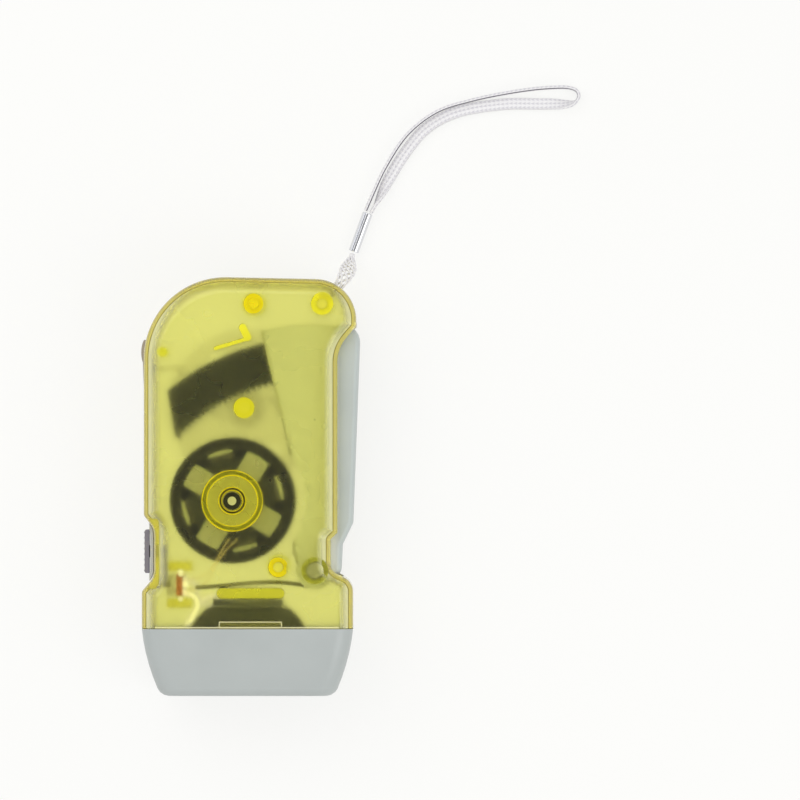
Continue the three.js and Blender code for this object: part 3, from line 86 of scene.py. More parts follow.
def srgb(code: str) -> tuple[float, float, float, float]:
    """Turn an sRGB hex value into linear colour.

    Args:
        code: Six hex digits, with or without a leading hash.

    Returns:
        Linear red, green and blue, with an alpha of 1.
    """
    digits = code.lstrip("#")
    levels = [int(digits[i:i + 2], 16) / 255 for i in (0, 2, 4)]
    linear = [v / 12.92 if v <= 0.04045 else ((v + 0.055) / 1.055) ** 2.4 for v in levels]
    return (*linear, 1.0)


def wired(tree: NodeTree, node: Node, settings: dict | None = None,
          links: dict | None = None) -> Node:
    """Set a node's values and link what feeds it.

    Args:
        tree: The tree that holds the node.
        node: The node.
        settings: Attributes, input values under the input's name or number, or "stops": the
            positions and sRGB hex colours of a row of colours.
        links: Input name or number to what feeds it: an output socket, or a node's first one.

    Returns:
        The same node.
    """
    for key, value in (settings or {}).items():
        if key == "stops":
            elements = node.color_ramp.elements
            while len(elements) < len(value):
                elements.new(0.5)
            for element, (position, colour) in zip(elements, value):
                element.position = position
                element.color = srgb(colour)
        elif isinstance(key, str) and hasattr(node, key):
            setattr(node, key, value)
        else:
            node.inputs[key].default_value = value
    for key, source in (links or {}).items():
        socket = source.outputs[0] if isinstance(source, Node) else source
        tree.links.new(socket, node.inputs[key])
    return node


def add_node(tree: NodeTree, kind: str, settings: dict | None = None,
             links: dict | None = None) -> Node:
    """Add one node with its settings and its incoming links.

    Args:
        tree: The tree that gets the node.
        kind: The node's type name.
        settings: The values that it gets, as in `wired`.
        links: What feeds it, as in `wired`.

    Returns:
        The new node.
    """
    return wired(tree, tree.nodes.new(kind), settings, links)


def new_material(name: str) -> tuple[Material, NodeTree, Node]:
    """Make a material with one Principled shader.

    Args:
        name: The material's name.

    Returns:
        The material, its tree and the shader node.
    """
    material = bpy.data.materials.new(name)
    material.use_nodes = True
    return material, material.node_tree, material.node_tree.nodes["Principled BSDF"]


@dataclass(frozen=True)
class Mark:
    """A face's marks: how frosted it is, and which kind of post's end it is.

    A post's end glows with painted light for what gathers along it; its haze hides what is below.
    """

    frost: float
    core: float = 0.0
    haze: str = "#000000"
    glow: str = "#000000"


class Skin(Enum):
    """How a moulded face came out. The ends' glow colours are painted light."""

    POLISHED = Mark(0.0)
    FROSTED = Mark(1.0)
    DULL_END = Mark(1.0, 0.2, "#a8a8a8")
    HUB_END = Mark(1.0, 0.4, "#909090", "#46441e")
    SOFT_END = Mark(1.0, 0.6, "#909090", "#9c9a8a")
    WARM_END = Mark(1.0, 0.8, "#a0a0a0", "#1c1804")
    LIT_END = Mark(1.0, 1.0, "#bcbcbc", "#b0a01e")

    @classmethod
    def ends(cls) -> list[Mark]:
        """Give the marks that a row of colours goes through, from no end to the brightest."""
        return [kind.value for kind in cls if kind is not cls.FROSTED]


@dataclass(frozen=True)
class MouldedPlastic:
    """Injection-moulded plastic: an even colour, a fine satin grain and faint flow clouds.

    Pieces in the case may glow in their own colour: painted light for what the case gathers.
    """

    name: str
    colour: str
    shade: str
    roughness: float = 0.42
    # Chosen to show: the real grain wasn't measured, and is taken to be finer.
    grain_mm: float = 0.35
    grain_depth: float = 0.12
    cloud_mm: float = 14.0
    milkiness: float = 0.0
    ior: float = 1.5
    # Emission in the piece's own colour: painted light.
    painted_glow: float = 0.0
    # A paler colour for the part inside the case, fading out across its edge: painted light.
    painted_light_inside: str = ""
    unpainted_beyond_mm: float = 0.0
    painted_fade_mm: float = 2.0
    relief_mm: float = 0.02
    smoother: float = 0.05
    rougher: float = 0.07

    def coloured(self, tree: NodeTree, where: NodeSocket, cloud: NodeSocket) -> NodeSocket:
        """Give the colour, which is painted paler inside the case: painted light.

        Args:
            tree: The tree that gets the nodes.
            where: The object coordinates.
            cloud: The flow clouds.

        Returns:
            The colour.
        """
        colour = add_node(tree, "ShaderNodeValToRGB",
                          {"stops": [(0.3, self.shade), (0.7, self.colour)]}, {"Fac": cloud})
        if not self.painted_light_inside:
            return colour.outputs["Color"]
        parts = add_node(tree, "ShaderNodeSeparateXYZ", links={0: where})
        outside_share = add_node(tree, "ShaderNodeMapRange",
                        {"From Min": (self.unpainted_beyond_mm - self.painted_fade_mm) * MM,
                         "From Max": self.unpainted_beyond_mm * MM}, {"Value": parts.outputs["X"]})
        return add_node(tree, "ShaderNodeMix", {"data_type": "RGBA", 6: srgb(self.painted_light_inside)},
                        {0: outside_share, 7: colour}).outputs[2]

    def build(self) -> Material:
        """Build the material. The grain breaks up highlights, and the clouds keep it from flat.

        Returns:
            The material.
        """
        material, tree, shader = new_material(self.name)
        where = add_node(tree, "ShaderNodeTexCoord").outputs["Object"]
        cloud, grain = (
            add_node(tree, "ShaderNodeTexNoise", {"Scale": 1 / (size * MM), "Detail": detail},
                     {"Vector": where}).outputs["Fac"]
            for size, detail in ((self.cloud_mm, 3.0), (self.grain_mm, 2.0)))
        bump = add_node(tree, "ShaderNodeBump",
                        {"Strength": self.grain_depth, "Distance": self.relief_mm * MM},
                        {"Height": grain})
        uneven = add_node(tree, "ShaderNodeMapRange",
                          {"To Min": self.roughness - self.smoother,
                           "To Max": self.roughness + self.rougher}, {"Value": cloud})
        wired(tree, shader,
              {"Transmission Weight": self.milkiness, "IOR": self.ior,
               "Emission Color": srgb(self.colour), "Emission Strength": self.painted_glow},
              {"Base Color": self.coloured(tree, where, cloud), "Normal": bump,
               "Roughness": uneven})
        return material


@dataclass(frozen=True)
class TintedCase:
    """Translucent polystyrene: polished outside, frosted inside, so what lies deep looks soft.

    Faces marked "frost" are the frosted inner ones. Faces marked "core" are the ends of posts and
    ribs, which glow with painted light for the light that gathers in thick plastic. Upright walls
    show their own haze.
    """

    name: str
    tint: str
    core_colour: str
    depth_colour: str
    depth_density: float = 200.0
    ior: float = 1.42
    polish: float = 0.05
    frost: float = 0.28
    haze: float = 0.0
    # Painted shade: upright walls get a deeper band, and a dark line where they turn level.
    rim_band_painted_shade: str = "#efe070"
    rim_line_painted_shade: str = "#8f8420"
    rim_level: float = 0.64
    rim_blend: float = 0.15
    rim_steps: tuple[float, ...] = (-0.02, 0.01, 0.04, 0.06)
    wall_haze: float = 0.3
    side_haze: float = 0.5
    side_turn: Pair = (0.25, 0.6)
    wave_mm: float = 9.0
    wave_share: float = 0.15
    wave_depth: float = 0.08
    wave_relief_mm: float = 0.05
    coarse_at: tuple[float, float, float] = (0.5, -33.0, 27.8)
    coarse_mm: float = 5.0

    def turned(self, tree: NodeTree, axis: str) -> NodeSocket:
        """Give how far a face looks along an axis, whichever way.

        Args:
            tree: The tree that gets the nodes.
            axis: The axis.

        Returns:
            A value from 0 to 1.
        """
        normal = add_node(tree, "ShaderNodeTexCoord").outputs["Normal"]
        share = add_node(tree, "ShaderNodeSeparateXYZ", links={0: normal}).outputs[axis]
        return add_node(tree, "ShaderNodeMath", {"operation": "ABSOLUTE"}, {0: share}).outputs[0]

    def levelness(self, tree: NodeTree, frost: NodeSocket) -> NodeSocket:
        """Give 0 for the upright outer walls, and 1 for the flat and the inner faces."""
        return add_node(tree, "ShaderNodeMath", {"operation": "MAXIMUM"},
                        {0: self.turned(tree, "Z"), 1: frost}).outputs[0]

    def side_band(self, tree: NodeTree, frost: NodeSocket) -> NodeSocket:
        """Give the paler haze of the long sides' rounding, which gathers light from the floor.

        Args:
            tree: The tree that gets the nodes.
            frost: How frosted the face is.

        Returns:
            A value from 0 to 1.
        """
        start, full = self.side_turn
        band = add_node(tree, "ShaderNodeMapRange",
                        {"From Min": start, "From Max": full, "To Max": self.side_haze},
                        {"Value": self.turned(tree, "X")})
        outer = add_node(tree, "ShaderNodeMath", {"operation": "SUBTRACT", 0: 1.0}, {1: frost})
        return add_node(tree, "ShaderNodeMath", {"operation": "MULTIPLY"},
                        {0: band, 1: outer}).outputs[0]

    def roughness(self, tree: NodeTree, where: NodeSocket, wave: NodeSocket,
                  frost: NodeSocket) -> NodeSocket:
        """Work out the roughness, which is greatest inside, over the lamp.

        Args:
            tree: The tree that gets the nodes.
            where: The object coordinates.
            wave: A slow unevenness.
            frost: How frosted the face is.

        Returns:
            The roughness.
        """
        spot = tuple(value * MM for value in self.coarse_at)
        away = add_node(tree, "ShaderNodeVectorMath", {"operation": "DISTANCE", 1: spot},
                        {0: where}).outputs["Value"]
        coarse = add_node(tree, "ShaderNodeMapRange",
                          {"From Min": self.coarse_mm * MM, "From Max": 2 * self.coarse_mm * MM,
                           "To Min": self.frost * 2, "To Max": self.frost}, {"Value": away})
        texture = add_node(tree, "ShaderNodeMapRange", {"To Min": self.polish},
                           {"Value": frost, "To Max": coarse})
        uneven = add_node(tree, "ShaderNodeMapRange",
                          {"To Min": 1 - self.wave_share, "To Max": 1 + self.wave_share},
                          {"Value": wave})
        return add_node(tree, "ShaderNodeMath", {"operation": "MULTIPLY"},
                        {0: texture, 1: uneven}).outputs[0]

    def haziness(self, tree: NodeTree, frost: NodeSocket, core: NodeSocket,
                 level: NodeSocket) -> NodeSocket:
        """Work out how much of the light is scattered instead of let through.

        Args:
            tree: The tree that gets the nodes.
            frost: How frosted the face is.
            core: Which kind of post's end it is.
            level: How level it is.

        Returns:
            A value from 0 to 1.
        """
        wall = add_node(tree, "ShaderNodeMapRange",
                        {"From Min": self.rim_level - self.rim_blend, "From Max": self.rim_level,
                         "To Min": self.wall_haze, "To Max": self.haze}, {"Value": level})
        end_haze = add_node(tree, "ShaderNodeValToRGB",
                            {"stops": [(end.core, end.haze) for end in Skin.ends()]},
                            {"Fac": core})
        most = add_node(tree, "ShaderNodeMath", {"operation": "MAXIMUM"}, {0: wall, 1: end_haze})
        return add_node(tree, "ShaderNodeMath", {"operation": "MAXIMUM"},
                        {0: most, 1: self.side_band(tree, frost)}).outputs[0]

    def build(self) -> Material:
        """Build the material, whose depth colour deepens the yellow of thick places.

        Returns:
            The material.
        """
        material, tree, shader = new_material(self.name)
        frost, core = (add_node(tree, "ShaderNodeAttribute", {"attribute_name": mark}).outputs["Fac"]
                       for mark in ("frost", "core"))
        level = self.levelness(tree, frost)
        clear = add_node(tree, "ShaderNodeMath", {"operation": "SUBTRACT", 0: 1.0},
                         {1: self.haziness(tree, frost, core, level)})
        # Painted shade by face direction: deeper band on upright faces, dark line between.
        colours = (self.rim_band_painted_shade, self.rim_line_painted_shade, self.rim_line_painted_shade, self.tint)
        wall = add_node(tree, "ShaderNodeValToRGB",
                        {"stops": [(self.rim_level + step, colour)
                                   for step, colour in zip(self.rim_steps, colours)]},
                        {"Fac": level})
        colour = add_node(tree, "ShaderNodeMix", {"data_type": "RGBA", 7: srgb(self.core_colour)},
                          {0: core, 6: wall}).outputs[2]
        where = add_node(tree, "ShaderNodeTexCoord").outputs["Object"]
        wave = add_node(tree, "ShaderNodeTexNoise",
                        {"Scale": 1 / (self.wave_mm * MM), "Detail": 2.0},
                        {"Vector": where}).outputs["Fac"]
        bump = add_node(tree, "ShaderNodeBump",
                        {"Strength": self.wave_depth, "Distance": self.wave_relief_mm * MM},
                        {"Height": wave})
        # The ends' glow is painted light: emission on faces that are no lamp.
        glow = add_node(tree, "ShaderNodeValToRGB",
                        {"stops": [(end.core, end.glow) for end in Skin.ends()]},
                        {"Fac": core})
        wired(tree, shader, {"IOR": self.ior, "Emission Strength": 1.0},
              {"Base Color": colour, "Transmission Weight": clear, "Normal": bump,
               "Roughness": self.roughness(tree, where, wave, frost), "Emission Color": glow})
        volume = add_node(tree, "ShaderNodeVolumeAbsorption",
                          {"Color": srgb(self.depth_colour), "Density": self.depth_density})
        wired(tree, tree.nodes["Material Output"], links={"Volume": volume})
        return material


@dataclass(frozen=True)
class Metal:
    """Plain or coated metal, with the streaks of rolling, turning or brushing."""

    name: str
    colour: str
    roughness: float
    # Chosen to show: the real streaks weren't measured, and are taken to be finer.
    streak_mm: float = 0.25
    streak_length_mm: float = 6.0
    streak_depth: float = 0.1
    relief_mm: float = 0.02
    least_share: float = 0.75
    most_share: float = 1.3

    def build(self) -> Material:
        """Build the material. The streaks spread its reflections along one way.

        Returns:
            The material.
        """
        material, tree, shader = new_material(self.name)
        across, along = 1 / (self.streak_mm * MM), 1 / (self.streak_length_mm * MM)
        where = add_node(tree, "ShaderNodeTexCoord").outputs["Object"]
        stretched = add_node(tree, "ShaderNodeMapping", {"Scale": (across, along, across)},
                             {"Vector": where})
        streaks = add_node(tree, "ShaderNodeTexNoise", {"Scale": 1.0, "Detail": 3.0},
                           {"Vector": stretched}).outputs["Fac"]
        uneven = add_node(tree, "ShaderNodeMapRange",
                          {"To Min": self.roughness * self.least_share,
                           "To Max": self.roughness * self.most_share}, {"Value": streaks})
        bump = add_node(tree, "ShaderNodeBump",
                        {"Strength": self.streak_depth, "Distance": self.relief_mm * MM},
                        {"Height": streaks})
        wired(tree, shader, {"Base Color": srgb(self.colour), "Metallic": 1.0},
              {"Roughness": uneven, "Normal": bump})
        return material


@dataclass(frozen=True)
class ClearPlastic:
    """Clear polystyrene or epoxy, as moulded for lenses and LED bodies."""

    name: str
    tint: str
    roughness: float = 0.03
    ior: float = 1.49
    wave_mm: float = 5.0
    most_share: float = 1.6

    def build(self) -> Material:
        """Build the material. A slow wave in its polish keeps reflections from being perfect.

        Returns:
            The material.
        """
        material, tree, shader = new_material(self.name)
        where = add_node(tree, "ShaderNodeTexCoord").outputs["Object"]
        wave = add_node(tree, "ShaderNodeTexNoise",
                        {"Scale": 1 / (self.wave_mm * MM), "Detail": 2.0},
                        {"Vector": where}).outputs["Fac"]
        uneven = add_node(tree, "ShaderNodeMapRange",
                          {"To Min": self.roughness, "To Max": self.roughness * self.most_share},
                          {"Value": wave})
        wired(tree, shader,
              {"Base Color": srgb(self.tint), "Transmission Weight": 1.0, "IOR": self.ior},
              {"Roughness": uneven})
        return material


@dataclass(frozen=True)
class KnittedTape:
    """Knitted polyester tape: ribs along it, slanting stitches between them, dull and white.

    A painted shadow line runs along one of its edges. Past the loop's end it fades.
    """

    name: str
    colour: str
    # The darker colour of the knit's low rows: painted shade.
    shade: str
    # The painted shadow line: its colour, place round the tape, width, core and fade along it.
    painted_shadow: str
    painted_shadow_at: float = 0.2
    painted_shadow_half: float = 0.03
    painted_shadow_core: float = 0.7
    painted_shadow_fades: Pair = (64.0, 72.0)
    painted_shadow_left: float = 0.2
    # Chosen to show: the real stitches weren't measured.
    stitch_mm: float = 1.1
    stitch_slant: float = 4.0
    stitch_share: float = 0.25
    ribs: float = 7.0
    relief: float = 0.5
    relief_mm: float = 0.12
    roughness: float = 0.85
    sheen: float = 0.2
    sheen_roughness: float = 0.5

    def knit(self, tree: NodeTree, along: NodeSocket, round_it: NodeSocket) -> NodeSocket:
        """Work out the knit's height: ribs with slanting stitches between them.

        Args:
            tree: The tree that gets the nodes.
            along: The metres along the tape.
            round_it: How far round the tape, from 0 to 1.

        Returns:
            The height.
        """
        rows = add_node(tree, "ShaderNodeMath",
                        {"operation": "MULTIPLY", 1: 2 * math.pi / (self.stitch_mm * MM)},
                        {0: along})
        columns = add_node(tree, "ShaderNodeMath", {"operation": "MULTIPLY", 1: self.ribs * 2},
                           {0: round_it})
        zigzag = add_node(tree, "ShaderNodeMath", {"operation": "PINGPONG", 1: 1.0}, {0: columns})
        slanted = add_node(tree, "ShaderNodeMath",
                           {"operation": "MULTIPLY_ADD", 1: self.stitch_slant},
                           {0: zigzag, 2: rows})
        stitch = add_node(tree, "ShaderNodeMath", {"operation": "SINE"}, {0: slanted})
        return add_node(tree, "ShaderNodeMath",
                        {"operation": "MULTIPLY_ADD", 1: self.stitch_share},
                        {0: stitch, 2: zigzag}).outputs[0]

    def painted_shadow_mask(self, tree: NodeTree, along: NodeSocket, round_it: NodeSocket) -> NodeSocket:
        """Work out where the painted shadow line shows.

        Args:
            tree: The tree that gets the nodes.
            along: The metres along the tape.
            round_it: How far round the tape, from 0 to 1.

        Returns:
            A value from 0 to 1.
        """
        off = add_node(tree, "ShaderNodeMath", {"operation": "SUBTRACT", 1: self.painted_shadow_at},
                       {0: round_it})
        away = add_node(tree, "ShaderNodeMath", {"operation": "ABSOLUTE"}, {0: off})
        start, end = self.painted_shadow_fades
        shows = add_node(tree, "ShaderNodeMapRange",
                         {"From Min": start * MM, "From Max": end * MM, "To Min": 1.0,
                          "To Max": self.painted_shadow_left}, {"Value": along})
        return add_node(tree, "ShaderNodeMapRange",
                        {"From Min": self.painted_shadow_half * self.painted_shadow_core,
                         "From Max": self.painted_shadow_half, "To Max": 0.0},
                        {"Value": away, "To Min": shows}).outputs[0]

    def build(self) -> Material:
        """Build the material on the tape's own UV map: U in metres along it, V round it.

        Returns:
            The material.
        """
        material, tree, shader = new_material(self.name)
        where = add_node(tree, "ShaderNodeUVMap", {"uv_map": "Path"}).outputs["UV"]
        parts = add_node(tree, "ShaderNodeSeparateXYZ", links={0: where})
        along, round_it = parts.outputs["X"], parts.outputs["Y"]
        knit = self.knit(tree, along, round_it)
        # Painted shade: the knit's low rows take the darker colour.
        front = add_node(tree, "ShaderNodeValToRGB",
                         {"stops": [(0.05, self.shade), (0.6, self.colour)]}, {"Fac": knit})
        both = add_node(tree, "ShaderNodeMix", {"data_type": "RGBA", 7: srgb(self.painted_shadow)},
                        {0: self.painted_shadow_mask(tree, along, round_it), 6: front}).outputs[2]
        bump = add_node(tree, "ShaderNodeBump",
                        {"Strength": self.relief, "Distance": self.relief_mm * MM},
                        {"Height": knit})
        wired(tree, shader,
              {"Roughness": self.roughness, "Sheen Weight": self.sheen,
               "Sheen Roughness": self.sheen_roughness},
              {"Base Color": both, "Normal": bump})
        return material


class Finish(Enum):
    """The object's finishes. Each is named for what it is and how its surface was made."""

    # Front half: glossy, and clear enough to show the works in yellow light.
    CASE = TintedCase("translucent_yellow_polystyrene", "#fffed0", "#f6ea2c", "#fffe66")
    # Rear half: its sand-textured inside hides what lies behind the light.
    CASE_REAR = TintedCase("frosted_yellow_polystyrene", "#fdfdce", "#f0ea70", "#fffe66", haze=0.06)
    # Cool grey with a satin grain that keeps highlights broad.
    HEAD_GREY = MouldedPlastic("moulded_grey_abs", "#bac0be", "#b5bbb9", 0.4)
    # The same grey, painted darker and yellower under the case's wall: painted shade.
    TONGUE_PAINTED_SHADE = MouldedPlastic("painted_shade_grey_abs", "#7a785e", "#706e56", 0.5)
    # Satin grey, painted paler inside the case, as painted light.
    LEVER_GREY = MouldedPlastic("lever_grey_abs", "#c6ceca", "#c0c8c5", 0.4, painted_light_inside="#e9edea",
                                unpainted_beyond_mm=22.5)
    # Darker grey, dulled by the thumb's rubbing.
    KNOB_GREY = MouldedPlastic("knob_grey_abs", "#8f8b97", "#837f8b", 0.45)
    # Pale cool sheet with a soft shine.
    PLATE_GREY = MouldedPlastic("liner_grey_abs", "#c9cbd0", "#c0c2c8", 0.4)
    # Warmer and darker than its surroundings, satin.
    LOCK_GREY = MouldedPlastic("lock_grey_abs", "#b0a69a", "#a59b90", 0.45)
    # Nearly black and dull, so the teeth read as an outline.
    DARK = MouldedPlastic("dark_acetal", "#282a1f", "#22241a", 0.6)
    # Milky, so it hardly shows against the case behind it.
    NYLON = MouldedPlastic("natural_nylon", "#fdfcf8", "#f9f8f3", 0.5, milkiness=0.94, ior=1.3)
    # Black with hardly any shine.
    RUBBER = MouldedPlastic("black_rubber", "#25251f", "#1e1e1a", 0.8)
    # Warm brown of resin-soaked paper, dull.
    BOARD_BROWN = MouldedPlastic("paper_laminate_brown", "#cc7628", "#b8641c", 0.6)
    # Almost black with a dull sheen, a mere edge behind the lamp.
    BOARD_DARK = MouldedPlastic("glass_laminate_black", "#2c2e28", "#242620", 0.5)
    # Dull dark back that only shows as a soft shape.
    SHADE = MouldedPlastic("reflector_black_abs", "#4c4e40", "#444638", 0.6)
    # Soft cream sleeve, kept bright inside the case by a painted glow.
    CREAM = MouldedPlastic("cream_pvc_sleeve", "#fffdf2", "#fdf9e6", 0.5, painted_glow=0.42)
    # Greyish metal with a broad, soft shine.
    STEEL = Metal("zinc_plated_steel", "#c9cac2", 0.34)
    # Bright bare end that catches the light.
    GROUND_STEEL = Metal("ground_steel", "#f6f6f0", 0.3)
    # Warm grey sheet, dulled by its insulating coat.
    STATOR = Metal("silicon_steel_sheet", "#c3c4b2", 0.5)
    # Brownish grey with an oily shine.
    SPRING = Metal("oiled_music_wire", "#8a8768", 0.4)
    # Nearly black, with a faint shine on its edges.
    DARK_STEEL = Metal("blackened_steel", "#34342b", 0.5)
    # Stone-like charcoal that hardly shines.
    MAGNET = MouldedPlastic("sintered_ferrite", "#25251f", "#1f1f1a", 0.7)
    # Warm yellow metal with turning marks.
    BRASS = Metal("turned_brass", "#c9a24a", 0.35)
    # Pale orange with broad highlights from turn to turn.
    COPPER = Metal("enamelled_copper", "#dcb878", 0.35)
    # Silvery white, smooth and rounded, with sharp highlights and a painted glow.
    SOLDER = MouldedPlastic("tin_solder", "#fffef6", "#f2f0e6", 0.25, 0.6, 0.3, 3.0, painted_glow=0.5)
    # Glossy amber on hair-thin wire, with a faint painted glow.
    ENAMEL = MouldedPlastic("amber_wire_enamel", "#ecd9a0", "#e2cc90", 0.4, painted_glow=0.25)
    # Mirror-like, with the fine streaks of rolling.
    CHROME = Metal("nickel_plated_brass", "#dedfe2", 0.14)
    # The brightest mirror, which repeats the lamp's yellow.
    MIRROR = Metal("vacuum_metallised_reflector", "#e2e4e6", 0.12)
    # Glass-clear and glossy.
    CLEAR = ClearPlastic("clear_polystyrene", "#f6fafb")
    # Saturated yellow, dull as cured silicone is.
    PHOSPHOR = MouldedPlastic("yellow_phosphor_silicone", "#f0cf3a", "#e6c430", 0.5)
    # White and dull, with painted shade between its ribs and a painted shadow line along one edge.
    TAPE = KnittedTape("white_knitted_tape", "#f8f7f8", "#dddbe0", "#6a6672")
    # White and rough, with soft shade between its strands.
    STRING = MouldedPlastic("white_twisted_string", "#fbfafa", "#eceaec", 0.85, 0.5, 0.6, 1.2)


@cache
def material_of(finish: Finish) -> Material:
    """Give a finish's material, which is built at its first use."""
    return finish.value.build()


def dress_node(node: str, finish: Finish) -> None:
    """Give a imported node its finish.

    Args:
        node: The node's name.
        finish: The finish that all its faces get.
    """
    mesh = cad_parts[node].data
    mesh.materials.clear()
    mesh.materials.append(material_of(finish))
    LOG.info("%s: dressed as %s", node, finish.value.name)


def link(name: str, mesh: Mesh) -> Object:
    """Put a mesh into the scene.

    Args:
        name: The piece's name.
        mesh: Its mesh.

    Returns:
        The new piece.
    """
    piece = bpy.data.objects.new(name, mesh)
    bpy.context.scene.collection.objects.link(piece)
    return piece


def baked(piece: Object) -> Object:
    """Turn a piece's modifiers into its mesh and remove them.

    Args:
        piece: The piece, whose modifiers are set up.

    Returns:
        The same piece with a plain mesh.
    """
    evaluated = piece.evaluated_get(bpy.context.evaluated_depsgraph_get())
    mesh = bpy.data.meshes.new_from_object(evaluated)
    piece.modifiers.clear()
    piece.data = mesh
    return piece


def smoothed(piece: Object, sharp: float) -> None:
    """Shade a piece smoothly, with hard edges kept and flat faces flat.

    Args:
        piece: The piece.
        sharp: Faces that meet at more than this many degrees keep a hard edge.
    """
    piece.data.shade_smooth()
    piece.data.set_sharp_from_angle(angle=math.radians(sharp))
    weighted = piece.modifiers.new("flat faces first", "WEIGHTED_NORMAL")
    weighted.keep_sharp = True
    weighted.weight = FLAT_WEIGHT


def fitted(piece: Object, body: str, slot: str, *nodes: str) -> Object:
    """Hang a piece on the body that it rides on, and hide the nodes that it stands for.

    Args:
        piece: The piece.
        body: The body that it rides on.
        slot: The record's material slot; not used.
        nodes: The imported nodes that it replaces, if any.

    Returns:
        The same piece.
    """
    if nodes:
        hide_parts(*nodes)
    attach(piece, body)
    LOG.info("%s: %d faces, on %s", piece.name, len(piece.data.polygons), body)
    return piece


def merged_copy(node: str) -> Mesh:
    """Copy a node's mesh with its loose triangles joined and its flat faces whole.

    Args:
        node: The node's name.

    Returns:
        The new mesh.
    """
    work = bmesh.new()
    work.from_mesh(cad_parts[node].data)
    bmesh.ops.remove_doubles(work, verts=work.verts, dist=JOIN_MM * MM)
    bmesh.ops.dissolve_limit(work, angle_limit=math.radians(FLAT_DEGREES), verts=work.verts,
                             edges=work.edges)
    mesh = bpy.data.meshes.new(node)
    work.to_mesh(mesh)
    work.free()
    return mesh


def refined(node: str, name: str, body: str, finish: Finish, slot: str,
            sharp: float = 32.0) -> Object:
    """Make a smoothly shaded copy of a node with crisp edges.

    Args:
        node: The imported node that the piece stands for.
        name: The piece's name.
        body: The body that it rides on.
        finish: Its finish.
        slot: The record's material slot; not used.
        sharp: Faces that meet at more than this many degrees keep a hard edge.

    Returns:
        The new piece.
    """
    mesh = merged_copy(node)
    mesh.materials.clear()
    mesh.materials.append(material_of(finish))
    piece = link(name, mesh)
    smoothed(piece, sharp)
    return fitted(piece, body, slot, node)


@dataclass(frozen=True)
class Corner:
    """A corner of a flat outline in millimetres. A held edge leaves it and takes no inset."""

    x: float
    y: float
    radius: float = 0.0
    held: bool = False


@dataclass(frozen=True)
class Outline:
    """A closed outline with rounded corners, counter-clockwise, that can be moved inwards."""

    corners: tuple[Corner, ...]
    arc_step: float = 4.0
    least_radius: float = 0.3
    reach_share: float = 0.9

    def moved(self, before: Vector, corner: Vector, after: Vector, inset_in: float,
              inset_out: float) -> Vector:
        """Find where two edges meet once each has moved inwards by its own distance.

        Args:
            before: The corner before it.
            corner: The corner.
            after: The corner after it.
            inset_in: How far the edge into the corner moves.
            inset_out: How far the edge out of it moves.

        Returns:
            The moved corner.
        """
        into, out = (corner - before).normalized(), (after - corner).normalized()
        start = corner + Vector((-into.y, into.x)) * inset_in
        end = corner + Vector((-out.y, out.x)) * inset_out
        return start + into * ((end - start).cross(out) / into.cross(out))

    def fillet(self, before: Vector, corner: Vector, after: Vector, radius: float,
               inset: float) -> list[Vector]:
        """Round one corner.

        Args:
            before: The corner before it.
            corner: The corner.
            after: The corner after it.
            radius: Its radius on the outline that hasn't moved.
            inset: How far the outline has moved inwards.

        Returns:
            The points of the arc, always equally many for one corner.
        """
        if not radius:
            return [corner]
        into, out = corner - before, after - corner
        turn = math.atan2(into.cross(out), into.dot(out))
        wanted = max(radius - inset, self.least_radius) if turn > 0 else radius + inset
        half = math.tan(abs(turn) / 2)
        reach = min(wanted * half, self.reach_share * min(into.length, out.length))
        used, side = reach / half, math.copysign(1.0, turn)
        start = corner - into.normalized() * reach
        heading = math.atan2(into.y, into.x)
        centre = start + Vector((-math.sin(heading), math.cos(heading))) * (side * used)
        steps = max(1, round(math.degrees(abs(turn)) / self.arc_step))
        angles = [heading - side * math.pi / 2 + turn * i / steps for i in range(steps + 1)]
        return [centre + Vector((math.cos(a), math.sin(a))) * used for a in angles]

    def points(self, inset: float) -> list[Vector]:
        """Give the outline's points after moving it inwards by a distance in millimetres.

        Args:
            inset: The distance.

        Returns:
            Its points.
        """
        flat = [Vector((c.x, c.y)) for c in self.corners]
        insets = [0.0 if c.held else inset for c in self.corners]
        count = len(flat)
        moved = [self.moved(flat[i - 1], flat[i], flat[(i + 1) % count], insets[i - 1], insets[i])
                 for i in range(count)]
        result = []
        for i, corner in enumerate(self.corners):
            result += self.fillet(moved[i - 1], moved[i], moved[(i + 1) % count], corner.radius,
                                  inset)
        return result


def body_of_rings(name: str, rings: list[list[Vector]], sides: Skin = Skin.POLISHED,
                  ends: Skin = Skin.POLISHED) -> Object:
    """Make a closed body through rings of equally many points, in the layout's millimetres.

    Args:
        name: The body's name.
        rings: Its rings, from one end to the other.
        sides: The skin between the rings.
        ends: The skin of both ends.

    Returns:
        The body, with its faces marked and facing outwards.
    """
    work = bmesh.new()
    frost = work.faces.layers.float.new("frost")
    core = work.faces.layers.float.new("core")
    made = [[work.verts.new(point) for point in ring] for ring in rings]
    count = len(rings[0])
    skins = []
    for low, high in zip(made, made[1:]):
        for i in range(count):
            j = (i + 1) % count
            skins.append((work.faces.new((low[i], low[j], high[j], high[i])), sides))
    skins.append((work.faces.new(list(reversed(made[0]))), ends))
    skins.append((work.faces.new(made[-1]), ends))
    for face, skin in skins:
        face[frost], face[core] = skin.value.frost, skin.value.core
    bmesh.ops.recalc_face_normals(work, faces=work.faces)
    mesh = bpy.data.meshes.new(name)
    work.to_mesh(mesh)
    work.free()
    return link(name, mesh)


